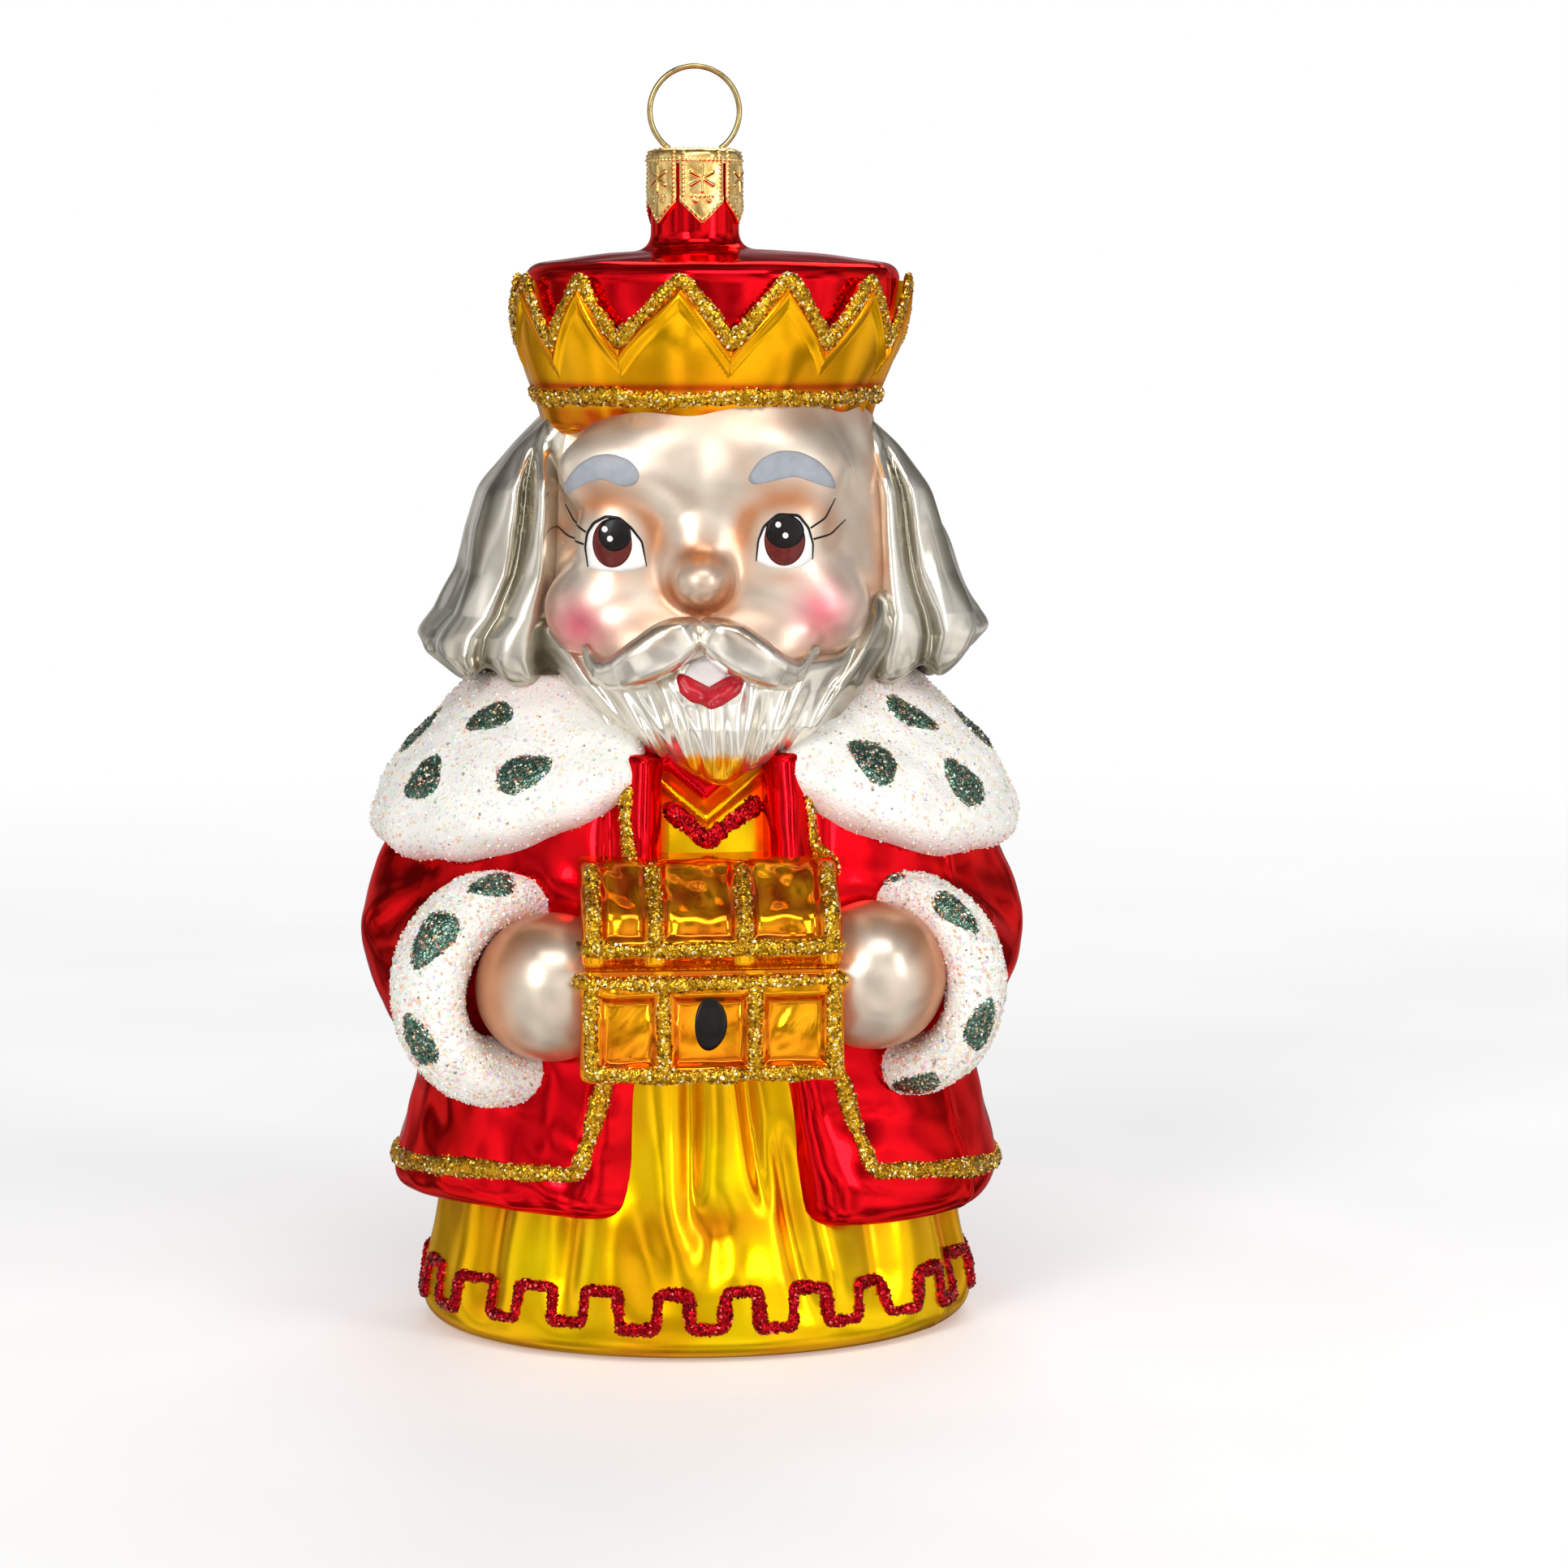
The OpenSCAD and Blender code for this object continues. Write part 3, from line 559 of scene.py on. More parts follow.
def nets(field, low, high, cell):
    """A closed quad mesh of the field's surface inside a box, by surface nets."""
    axes = [np.arange(a, b + cell, cell) for a, b in zip(low, high)]
    x, y, z = axes[0][:, None, None], axes[1][None, :, None], axes[2][None, None, :]
    f = np.broadcast_to(field(x, y, z), [len(a) for a in axes])
    f = f.astype(np.float32)
    inside = f < 0
    shape = [len(a) - 1 for a in axes]
    total = np.zeros(shape + [3], np.float32)
    count = np.zeros(shape, np.int16)
    crossings = []
    for axis in range(3):
        a = np.take(f, range(f.shape[axis] - 1), axis)
        b = np.take(f, range(1, f.shape[axis]), axis)
        hit = np.argwhere((a < 0) != (b < 0))
        fa, fb = a[tuple(hit.T)], b[tuple(hit.T)]
        place = hit.astype(np.float32)
        place[:, axis] += fa / (fa - fb)
        others = [i for i in range(3) if i != axis]
        keep = np.all([(hit[:, i] > 0) & (hit[:, i] < f.shape[i] - 1) for i in others], axis=0)
        corners = []
        for di, dj in ((1, 1), (0, 1), (0, 0), (1, 0)):
            cellid = hit.copy()
            cellid[:, others[0]] -= di
            cellid[:, others[1]] -= dj
            ok = np.all((cellid >= 0) & (cellid < shape), axis=1)
            np.add.at(total, tuple(cellid[ok].T), place[ok])
            np.add.at(count, tuple(cellid[ok].T), 1)
            corners.append(cellid[keep])
        crossings.append((axis, corners, inside[tuple(hit[keep].T)]))
    used = count > 0
    index = np.full(shape, -1, np.int64)
    index[used] = np.arange(used.sum())
    verts = total[used] / count[used][:, None] * cell + np.array([a[0] for a in axes])
    faces = []
    for axis, corners, outward in crossings:
        quad = np.stack([index[tuple(c.T)] for c in corners], 1)
        flip = outward if axis != 1 else ~outward
        quad[~flip] = quad[~flip][:, ::-1]
        faces.append(quad)
    verts, normals = settle(field, verts.astype(float), 2, cell)
    return verts, np.concatenate(faces), normals


def make(name, verts, faces, material, normals=None, values=None, flat=None):
    """A Blender object from millimetre arrays, with point attributes. flat marks the unsmoothed faces."""
    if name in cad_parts:
        name += "_finish"
    mesh = bpy.data.meshes.new(name)
    mesh.from_pydata((np.asarray(verts) * MM).tolist(), [], faces)
    mesh.materials.append(material)
    smooth = np.ones(len(faces), bool) if flat is None else ~flat
    mesh.polygons.foreach_set("use_smooth", smooth)
    for key, data in (values or {}).items():
        mesh.attributes.new(key, "FLOAT", "POINT").data.foreach_set("value", np.asarray(data, np.float32))
    mesh.calc_loop_triangles()
    corners = np.empty(len(mesh.loop_triangles) * 3, np.int32)
    mesh.loop_triangles.foreach_get("vertices", corners)
    a, b, c = np.asarray(verts)[corners].reshape(-1, 3, 3).transpose(1, 0, 2)
    if (np.cross(a, b) * c).sum() < 0:
        mesh.flip_normals()
    if normals is not None:
        mesh.normals_split_custom_set_from_vertices(normals.tolist())
    obj = bpy.data.objects.new(name, mesh)
    bpy.context.scene.collection.objects.link(obj)
    return obj


FLAKE_WILD = 0.55        # how far the flakes tip out of the surface that they lie on
FLAKE_SIDES, FLAKE_POINTS = 6, 8      # the points are its rim and a tip on each side


def flakes(points, normals, rng, small, big):
    """Seeded six-sided flakes lying on the given points, as vertices and triangles."""
    axis = normals + rng.normal(size=points.shape) * FLAKE_WILD
    axis /= np.linalg.norm(axis, axis=1, keepdims=True)
    side = np.cross(axis, rng.normal(size=points.shape))
    side /= np.linalg.norm(side, axis=1, keepdims=True)
    other = np.cross(axis, side)
    r = rng.uniform(small, big, len(points))[:, None, None]
    turn = np.arange(FLAKE_SIDES) * 2 * math.pi / FLAKE_SIDES
    rim = (side[:, None] * np.cos(turn)[None, :, None] + other[:, None] * np.sin(turn)[None, :, None]) * r
    tips = np.stack([axis, -axis], 1) * r * 0.3
    verts = (points[:, None] + np.concatenate([rim, tips], 1)).reshape(-1, 3)
    round_it = [(k, (k + 1) % FLAKE_SIDES) for k in range(FLAKE_SIDES)]
    one = [(a, b, FLAKE_SIDES) for a, b in round_it] + [(b, a, FLAKE_SIDES + 1) for a, b in round_it]
    faces = (np.arange(len(points))[:, None, None] * FLAKE_POINTS + np.array(one)[None]).reshape(-1, 3)
    return verts, faces


def sprinkled(verts, faces, points, normals, rng, small, big):
    """Joins flakes at the points to a mesh, with a random shade for each flake, and marks them as flat."""
    more, more_faces = flakes(points, normals, rng, small, big)
    shade = np.concatenate([np.zeros(len(verts)), np.repeat(rng.uniform(0.05, 1, len(points)), FLAKE_POINTS)])
    flat = np.concatenate([np.zeros(len(faces), bool), np.ones(len(more_faces), bool)])
    return np.concatenate([verts, more]), list(faces) + (more_faces + len(verts)).tolist(), shade, flat


def place(obj, nodes, body=GLASS):
    """Stands a piece in for CAD nodes."""
    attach(obj, body)
    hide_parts(*nodes)


def zone(name, field, low, high, cell, material, nodes=None, body=GLASS, values=None, crystals=0):
    """A glass zone: meshes the field, gives it its material, and stands it in for CAD nodes."""
    nodes = nodes or [name]
    verts, faces, normals = nets(field, low, high, cell * (1))
    obj = make(name, verts, faces.tolist(), material, normals, values(*verts.T) if values else {})
    place(obj, nodes, body)
    if crystals:
        rng = np.random.default_rng(len(name))
        pick = rng.integers(0, len(verts), crystals // (1))
        on = verts[pick] + normals[pick] * rng.uniform(-0.02, 0.12, (len(pick), 1))
        sand, sand_faces = flakes(on, normals[pick], rng, 0.1, 0.19)
        shade = np.repeat(rng.uniform(0.05, 1, len(pick)), FLAKE_POINTS)
        flat = np.ones(len(sand_faces), bool)
        sand = make(name + "_crystals", sand, sand_faces.tolist(), material, None, {"shade": shade}, flat)
        place(sand, nodes, body)


# ---------------------------------------------------------------- laying things on the glass
FROM_FRONT, FROM_FACE, FROM_ROUND = -42, -34, 46      # where points start, well clear of the glass


def cast(field, points, way):
    """Moves points along way to the field's surface, and returns them with their normals."""
    p = np.array(points, float)
    way = np.broadcast_to(np.array(way, float), p.shape)
    way = way / np.linalg.norm(way, axis=1, keepdims=True)
    for _ in range(90):
        p = p + way * np.clip(field(*p.T), -1, 4)[:, None] * 0.6
    return settle(field, p, 1, 0.1)


def from_front(field, flat):
    """Puts points of (x, z) straight back onto the figure."""
    x, z = np.asarray(flat, float).T
    return cast(field, np.stack([x, np.full_like(x, FROM_FRONT), z], 1), (0, 1, 0))


def from_face(field, flat):
    """Puts points of (x, z), in the head's own frame, onto the face."""
    x, z = np.asarray(flat, float).T
    wx, wy = from_head(x, np.full_like(x, FROM_FACE))
    return cast(field, np.stack([wx, wy, z], 1), (*from_head(0, 1), 0))


def from_round(field, flat):
    """Puts points of (angle, z) onto the figure from all round it."""
    t, z = np.asarray(flat, float).T
    t = np.radians(t)
    inwards = np.stack([-np.sin(t), np.cos(t), 0 * t], 1)
    return cast(field, np.stack([FROM_ROUND * np.sin(t), -FROM_ROUND * np.cos(t), z], 1), inwards)


def curve(points, gap=0.25, soft=0.5, closed=False):
    """Evenly spaced points along a polyline whose corners are rounded off."""
    p = np.array(points, float)
    if closed:
        p = np.vstack([p, p[:1]])
    length = np.r_[0, np.cumsum(np.linalg.norm(np.diff(p, axis=0), axis=1))]
    count = max(int(length[-1] / gap), 6)
    s = np.linspace(0, length[-1], count + 1)
    q = np.stack([np.interp(s, length, c) for c in p.T], 1)
    reach = max(int(3 * soft / gap), 1)
    kernel = np.exp(-0.5 * (np.arange(-reach, reach + 1) * gap / soft) ** 2)
    kernel /= kernel.sum()
    if closed:
        q = q[:-1]
        padded = np.pad(q, ((reach, reach), (0, 0)), mode="wrap")
    else:
        before = 2 * q[0] - q[reach:0:-1] if len(q) > reach else np.repeat(q[:1], reach, 0)
        after = 2 * q[-1] - q[-2:-reach - 2:-1] if len(q) > reach else np.repeat(q[-1:], reach, 0)
        padded = np.vstack([before, q, after])
    return np.stack([np.convolve(c, kernel, "valid") for c in padded.T], 1)


def loop_faces(count, m, closed=False):
    """Faces of a skin over count loops of m points each. The ends of an open skin get caps."""
    i = np.arange(count if closed else count - 1)[:, None]
    j = np.arange(m)[None]
    after = (i + 1) % count
    quads = np.stack([i * m + j, i * m + (j + 1) % m, after * m + (j + 1) % m, after * m + j], -1)
    faces = quads.reshape(-1, 4).tolist()
    if not closed:
        faces += [list(range(m))[::-1], list(range((count - 1) * m, count * m))]
    return faces


MOUSTACHE_LINE = moustache_line()


def dab(name, onto, outline, material=None, nodes=None, high=0.14, lift=0.0, rings=7, sink=0.12, flecks=0,
        seed=0, soft=0.16):
    """A domed dab inside an outline. onto puts flat points on the glass. Enamel becomes a piece at once;
    with a number of flecks, it is glue covered in them, and the arrays for join() come back."""
    outline = curve(outline, 0.12, soft, True)
    centre = outline.mean(0)
    s = np.linspace(0.06, 1, rings)
    flat = (centre + (outline - centre)[None] * s[:, None, None]).reshape(-1, 2)
    points, normals = onto(flat)
    rise = np.repeat(lift + high * np.sqrt(1 - np.minimum(s, 0.995) ** 3), len(outline))[:, None]
    top = (points + normals * rise).reshape(rings, -1, 3)
    low = (points - normals * sink).reshape(rings, -1, 3)[::-1]
    verts = np.concatenate([top, low]).reshape(-1, 3)
    faces = loop_faces(2 * rings, len(outline))
    if not flecks:
        return place(make(name, verts, faces, material), nodes or [name])
    rng = np.random.default_rng(seed)
    pick = rng.uniform(0, 1, (flecks, 2))
    edge = outline[(pick[:, 0] * len(outline)).astype(int)]
    on, on_normals = onto(centre + (edge - centre) * np.sqrt(pick[:, 1:]) * 1.04)
    on = on + on_normals * (lift + high * (1 - pick[:, 1:]))
    return sprinkled(verts, faces, on, on_normals, rng, 0.13, 0.24)


def join(parts):
    """Joins several sets of vertices, faces, shades and flat marks into one."""
    verts, faces, shade, flat, start = [], [], [], [], 0
    for v, f, s, u in parts:
        verts.append(v)
        faces += [[i + start for i in face] for face in f]
        shade.append(s)
        flat.append(u)
        start += len(v)
    return np.concatenate(verts), faces, np.concatenate(shade), np.concatenate(flat)


BEAD_SIDES = 10


def beads(name, paths, half, high, material, seed, closed=False, dense=15):
    """Lumpy beads of glue covered in flakes, along paths of (points, normals)."""
    rng = np.random.default_rng(seed)
    parts = []
    phi = np.linspace(0, 2 * math.pi, BEAD_SIDES, endpoint=False)
    for path, normals in paths:
        n = len(path)
        along = np.roll(path, -1, 0) - np.roll(path, 1, 0) if closed else np.gradient(path, axis=0)
        side = np.cross(along, normals)
        side /= np.linalg.norm(side, axis=1, keepdims=True)
        rough = rng.normal(size=n + 8)
        swell = 1 + 0.13 * np.convolve(rough, np.ones(9) / 3, "valid")[:n]
        if not closed:
            ends = np.minimum(np.arange(n), np.arange(n)[::-1]) * np.linalg.norm(along, axis=1).mean()
            swell = swell * np.sqrt(np.clip((ends + 0.15) / half, 0.2, 1))
        swell = swell[:, None, None]
        lumps = 1 + rng.normal(size=(n, BEAD_SIDES, 1)) * 0.05
        across = side[:, None] * np.cos(phi)[None, :, None] * half
        out = normals[:, None] * np.sin(phi)[None, :, None] * high
        verts = (path[:, None] + (across + out) * swell * lumps).reshape(-1, 3)
        faces = loop_faces(n, BEAD_SIDES, closed)
        length = np.linalg.norm(np.diff(path, axis=0), axis=1).sum()
        count = int(length * math.pi * (half + high) / 2 * dense / (1))
        i = rng.integers(0, n - 1, count)
        u = rng.uniform(0, 1, (count, 1))
        turn = rng.uniform(-0.35, math.pi + 0.35, (count, 1))
        a = path[i] * (1 - u) + path[i + 1] * u
        s, w = side[i], normals[i]
        on = a + (s * np.cos(turn) * half + w * np.sin(turn) * high) * swell[i, 0]
        facing = s * np.cos(turn) * high + w * np.sin(turn) * half
        facing /= np.linalg.norm(facing, axis=1, keepdims=True)
        parts.append(sprinkled(verts, faces, on, facing, rng, 0.12, 0.22))
    verts, faces, shade, flat = join(parts)
    place(make(name, verts, faces, material, None, {"shade": shade}, flat), [name])


# ---------------------------------------------------------------- materials
def rgb(r, g, b):
    return (*[(c / 255 / 12.92) if c < 10.3 else ((c / 255 + 0.055) / 1.055) ** 2.4 for c in (r, g, b)], 1)


def add(tree, kind, inputs=None, **settings):
    """A new node with its settings and its inputs, which are sockets or plain values."""
    made = tree.nodes.new(kind)
    for key, value in settings.items():
        setattr(made, key, value)
    for key, value in (inputs or {}).items():
        if isinstance(value, bpy.types.NodeSocket):
            tree.links.new(value, made.inputs[key])
        else:
            made.inputs[key].default_value = value
    return made


def spread(tree, value, low, high, start=0.3, end=0.7):
    return add(tree, "ShaderNodeMapRange", {"Value": value, "From Min": start, "From Max": end,
                                            "To Min": low, "To Max": high}).outputs[0]


def ramp(tree, value, stops, sharp=False):
    made = add(tree, "ShaderNodeValToRGB", {0: value})
    made.color_ramp.interpolation = "CONSTANT" if sharp else "LINEAR"
    elements = made.color_ramp.elements
    elements.remove(elements[1])
    elements[0].position, elements[0].color = stops[0]
    for at, colour in stops[1:]:
        elements.new(at).color = colour
    return made.outputs[0]


class Look:
    """A node material around one Principled shader, with coordinates in millimetres."""

    def __init__(self, name, **shader):
        self.mat = bpy.data.materials.new(name)
        self.mat.use_nodes = True
        self.tree = self.mat.node_tree
        self.shader = self.tree.nodes["Principled BSDF"]
        for key, value in shader.items():
            self.put(key.replace("_", " ").title().replace("Ior", "IOR"), value)
        where = self.tree.nodes.new("ShaderNodeTexCoord")
        self.mm = self.node("ShaderNodeVectorMath", {0: where.outputs["Object"], "Scale": 1000},
                            operation="SCALE").outputs[0]

    def node(self, kind, inputs=None, **settings):
        return add(self.tree, kind, inputs, **settings)

    def put(self, key, value):
        if isinstance(value, bpy.types.NodeSocket):
            self.tree.links.new(value, self.shader.inputs[key])
        else:
            self.shader.inputs[key].default_value = value

    def noise(self, size, detail=2):
        inputs = {"Vector": self.mm, "Scale": 1 / size, "Detail": detail}
        return self.node("ShaderNodeTexNoise", inputs).outputs[0]

    def cells(self, size):
        made = self.node("ShaderNodeTexVoronoi", {"Vector": self.mm, "Scale": 1 / size})
        return made.outputs["Distance"], made.outputs["Color"]

    def tint(self, name):
        return self.node("ShaderNodeAttribute", attribute_name=name).outputs["Fac"]

    def mix(self, factor, a, b):
        return self.node("ShaderNodeMix", {0: factor, 6: a, 7: b}, data_type="RGBA").outputs[2]

    def spread(self, *args):
        return spread(self.tree, *args)

    def bump(self, height, strength, depth):
        self.put("Normal", self.node("ShaderNodeBump", {"Height": height, "Strength": strength,
                                                        "Distance": depth * MM}).outputs[0])


def lacquer(name, light, deep, rough, coat=0.3, coat_rough=0.05, tints=(), metal=0.86, patch=7, orange=0.05,
            edge=(255, 255, 255)):
    """Silvered glass under coloured lacquer. tints are painted point attributes and their colours, paint or
    painted shade, and edge is what the surface reflects where it turns away."""
    look = Look(name, metallic=metal, coat_weight=coat, coat_roughness=coat_rough, specular_tint=rgb(*edge))
    colour = look.mix(look.spread(look.noise(patch), 0, 1), rgb(*deep), rgb(*light))
    for key, over in tints:
        colour = look.mix(look.tint(key), colour, rgb(*over))
    look.put("Base Color", colour)
    look.put("Roughness", look.spread(look.noise(patch * 0.6, 4), rough * 0.8, rough * 1.25))
    look.bump(look.noise(1.7, 3), 0.25, orange)
    return look.mat


def glitter(name, glue, stops):
    """Flakes whose colour follows their random shade; the glue between them has the shade 0."""
    look = Look(name, metallic=0.9, roughness=0.24)
    distance, cell = look.cells(0.3)
    inner = look.mix(look.spread(cell, 0, 1, 0.2, 0.8), rgb(*glue), rgb(*stops[1]))
    steps = [(0.04 + 0.96 * i / len(stops), rgb(*c)) for i, c in enumerate(stops)]
    coloured = ramp(look.tree, look.tint("shade"), steps, True)
    is_flake = look.spread(look.tint("shade"), 0, 1, 0.02, 0.03)
    look.put("Base Color", look.mix(is_flake, inner, coloured))
    look.put("Roughness", look.spread(look.tint("shade"), 0.18, 0.34, 0, 1))
    look.bump(distance, 0.6, 0.12)
    return look.mat


SNOW_FLAKES = [
    (0.0, (254, 252, 246)), (0.34, (255, 206, 184)), (0.44, (206, 244, 216)), (0.54, (252, 206, 232)),
    (0.62, (214, 214, 255)), (0.69, (255, 232, 176)), (0.77, (250, 186, 146)), (0.83, (254, 252, 246)),
    (0.975, (150, 144, 136))]


def snow():
    """White glass sand in glue, with a few flakes that shimmer."""
    look = Look("snow_glitter", specular_ior_level=0.6)
    distance, cell = look.cells(0.26)
    white = look.mix(look.spread(look.noise(3.5, 4), 0, 1), rgb(236, 235, 228), rgb(250, 248, 241))
    white = look.mix(look.tint("pink"), white, rgb(246, 212, 208))
    grain = look.mix(look.spread(cell, 0, 0.5, 0.82, 0.88), white, rgb(212, 206, 198))
    flake = ramp(look.tree, look.tint("shade"), [(at, rgb(*c)) for at, c in SNOW_FLAKES], True)
    is_flake = look.spread(look.tint("shade"), 0, 1, 0.02, 0.03)
    look.put("Base Color", look.mix(is_flake, grain, flake))
    look.put("Roughness", look.spread(is_flake, 0.62, 0.3, 0, 1))
    look.put("Metallic", look.spread(is_flake, 0, 0.2, 0, 1))
    look.bump(look.mix(0.5, look.noise(0.4, 4), distance), 0.5, 0.2)
    return look.mat


def enamel(name, light, deep, rough=0.4, coat=0.1, size=1.2, shine=0.35):
    """Opaque hand-painted enamel with the streaks of a brush."""
    look = Look(name, coat_weight=coat, coat_roughness=0.1, specular_ior_level=shine)
    look.put("Base Color", look.mix(look.spread(look.noise(size, 5), 0, 1), rgb(*deep), rgb(*light)))
    look.put("Roughness", look.spread(look.noise(size * 0.5, 3), rough * 0.8, rough * 1.3))
    look.bump(look.noise(size * 0.45, 3), 0.3, 0.03)
    return look.mat


def metal(name, light, deep, rough, dents=0.02):
    look = Look(name, metallic=1.0)
    look.put("Base Color", look.mix(look.spread(look.noise(0.9, 4), 0, 1), rgb(*deep), rgb(*light)))
    look.put("Roughness", look.spread(look.noise(0.5, 3), rough * 0.7, rough * 1.4))
    look.bump(look.noise(0.35, 4), 0.35, dents)
    return look.mat


RED_GLASS = lacquer("red_glass", (240, 0, 20), (206, 0, 10), 0.13, 0.1, patch=11, metal=0.97,
                    edge=(255, 110, 120))
# The gown's deep tint is painted shade.
GOWN_GLASS = lacquer("gold_satin_glass", (255, 220, 0), (253, 190, 0), 0.25, 0.08, metal=0.9,
                     tints=[("deep", (222, 128, 0))], patch=12, edge=(255, 225, 130))
# The crown's edge tint is painted shade along its trims, and darkens its lower wall.
CROWN_GLASS = lacquer("amber_satin_glass", (255, 190, 0), (253, 172, 0), 0.2, 0.08, metal=0.9,
                      tints=[("edge", (200, 72, 0))], edge=(255, 215, 120))
# The chest's deep tint is a painted darker reflection on the lid, and its edge tint painted shade beside the
# straps.
CHEST_GLASS = lacquer("amber_glass", (255, 182, 0), (255, 150, 0), 0.13, 0.2, metal=0.86,
                      tints=[("deep", (176, 48, 0)), ("edge", (200, 66, 0))], patch=4, orange=0.12,
                      edge=(255, 200, 110))
# The tan tint is painted shade in the face's creases and at the rims of the hands, with a little random tone;
# blush is the cheeks' own paint.
SKIN_TINTS = [("tan", (204, 140, 98)), ("blush", (236, 92, 122))]
SKIN_GLASS = lacquer("pearl_glass", (234, 220, 202), (206, 190, 172), 0.34, coat_rough=0.25, tints=SKIN_TINTS,
                     metal=0.72)
# Its tan and deep tints are painted shade in the grooves and creases of the hair, beard and moustache, and
# darken the hair's lower ends.
HAIR_GLASS = lacquer("silver_satin_glass", (250, 246, 236), (226, 219, 204), 0.24, coat_rough=0.1, metal=0.9,
                     tints=[("tan", (178, 136, 98)), ("gold", (250, 180, 14)), ("deep", (120, 112, 88))])
SNOW = snow()
GOLD_GLITTER = glitter("gold_glitter", (150, 104, 14), [
    (128, 86, 8), (226, 172, 34), (250, 212, 76), (190, 136, 18), (255, 240, 150), (214, 160, 30),
    (240, 192, 56), (255, 252, 210)])
RED_GLITTER = glitter("red_glitter", (110, 0, 12), [
    (90, 0, 8), (200, 8, 26), (160, 0, 18), (226, 30, 40), (180, 0, 22), (255, 110, 100), (150, 0, 14),
    (206, 20, 34)])
GREEN_GLITTER = glitter("green_glitter", (70, 92, 82), [
    (56, 78, 70), (110, 146, 130), (76, 108, 96), (136, 172, 152), (70, 98, 88), (250, 250, 236),
    (214, 150, 112), (90, 124, 112), (206, 232, 206), (240, 190, 154), (236, 166, 164), (250, 214, 166),
    (120, 150, 134)])
BROW = enamel("grey_enamel", (164, 168, 174), (148, 153, 161), 0.5)
BROWN = enamel("brown_enamel", (112, 20, 6), (76, 8, 2), 0.3, 0.25, 0.7)
LIP_RED = enamel("red_enamel", (196, 0, 30), (160, 0, 22), 0.28, 0.25)
WHITE = enamel("white_enamel", (248, 246, 244), (236, 233, 230), 0.45)
BLACK = enamel("black_enamel", (22, 17, 16), (12, 9, 9), 0.35, 0.1, 1.2, 0.2)
CAP_GOLD = metal("gold_cap_metal", (255, 226, 152), (226, 176, 94), 0.22, 0.03)
WIRE_GOLD = metal("gold_wire_metal", (206, 186, 132), (176, 152, 100), 0.22, 0.003)


# ---------------------------------------------------------------- paint and painted shade on the zones
def spot(u, v, at, size):
    return bump(hyp(u - at[0], v - at[1]) / size)


def face_paint(x, y, z):
    hx, hy = head(x, y)
    # Painted shade in tan: along the face's sides beside the hair, under the crown, round and between the
    # eyes, under the brows, beside and under the nose and above the moustache. The waves add a random tone;
    # blush is the cheeks' own paint.
    tan = 0.8 * step(-hx, 12.2, 16.5) + 0.7 * step(hx, 15.5, 19.5) + 0.35 * step(z, 90.5, 93)
    tan = tan + 0.14 * step(waves((x, y, z), 10, 92), 0, 0.9)
    for side, at in ((-1, (-8.3, 80.6)), (1, (8.7, 80.8))):
        far = hyp((hx - at[0]) / 1.15, z - at[1])
        tan = tan + 0.55 * bump((far - 3.9) / 1.1) * step(z, 78, 82)
        tan = tan + 0.55 * bump((far - 3.6) / 1.6) * bump((hx * side - 4.2) / 1.6)
        tan = tan + 0.6 * bump(hyp(hx - side * 9.3, (z - 85.6) * 1.8) / 3.4)
        tan = tan + 0.45 * bump(hyp((hx - side * 8.6) * 0.35, z - 77.3) / 0.7)
        tan = tan + 0.8 * bump(hyp((hx - side * 3.0) * 1.3, z - 75.6) / 1.7)
        tan = tan + 0.55 * bump(hyp((hx - side * 5.2) * 0.6, z - 72.8 + 0.35 * (hx * side - 5)) / 1.5)
        tan = tan + 0.6 * bump(hyp((hx - side * 11.5) * 0.7, z - 69.5) / 1.8)
    tan = tan + 0.6 * bump(hyp((hx - 0.2) * 0.75, z - 79.8) / 1.5)
    tan = tan + 0.9 * bump(hyp(hx - 0.3, (z - 74.3) * 1.4) / 1.9)
    tan = tan + 0.35 * bump((hyp(hx - 0.3, z - 76.9) - 3.0) / 1.2)
    blush = 0.85 * spot(hx, z, (-11.6, 72.6), 2.6) + 0.75 * spot(hx, z, (12.2, 74.1), 2.8)
    return {"tan": np.clip(tan + 0.12 * waves((x, y, z), 4, 91), 0, 1), "blush": np.clip(blush, 0, 1)}


def moustache_painted_shade(x, y, z):
    hx, hy = head(x, y)
    top = chain((np.abs(hx - 0.2), hy, z - 2.0), MOUSTACHE_LINE, 1)
    # Painted shade: tan in the crease along the moustache's upper edge, fading out at its middle, and deep
    # along its lower edge where it meets the beard.
    return {"tan": 0.55 * bump((top + 1.0) / 1.1) * step(np.abs(hx), 0.5, 3),
            "deep": 0.25 * bump((z - 67.5) / 1.4)}


def beard_paint(x, y, z):
    hx, hy = head(x, y)
    # Painted shade: tan low on the beard's sides and deep over its sides. The beard is also a little tanner
    # towards its lower end, and gold is its tip's own paint.
    return {"tan": 0.5 * step(np.abs(hx), 12, 17) * step(-z, -70, -64) + 0.3 * step(-z, -62.5, -58),
            "gold": step(-z, -60.6, -59.5) * (1 - step(np.abs(hx - 1.4), 2.6, 4)),
            "deep": 0.6 * step(np.abs(hx), 9, 16)}


def hair_paint(x, y, z):
    _, swayed, _ = across_hair(x - row_at(HAIR_X, z), z)
    # Painted shade: deep in the grooves between the locks on the front. The hair also gets darker towards its
    # lower ends.
    gap = bump((swayed - 0.46) / 0.11) + bump((swayed - 0.98) / 0.14) + bump((swayed + 0.1) / 0.12)
    deep = 0.1 + 0.75 * gap * (y < 0) + 0.3 * step(-z, -72, -66)
    return {"gold": 0.3 * step(z, 90, 93), "deep": np.clip(deep, 0, 0.9)}


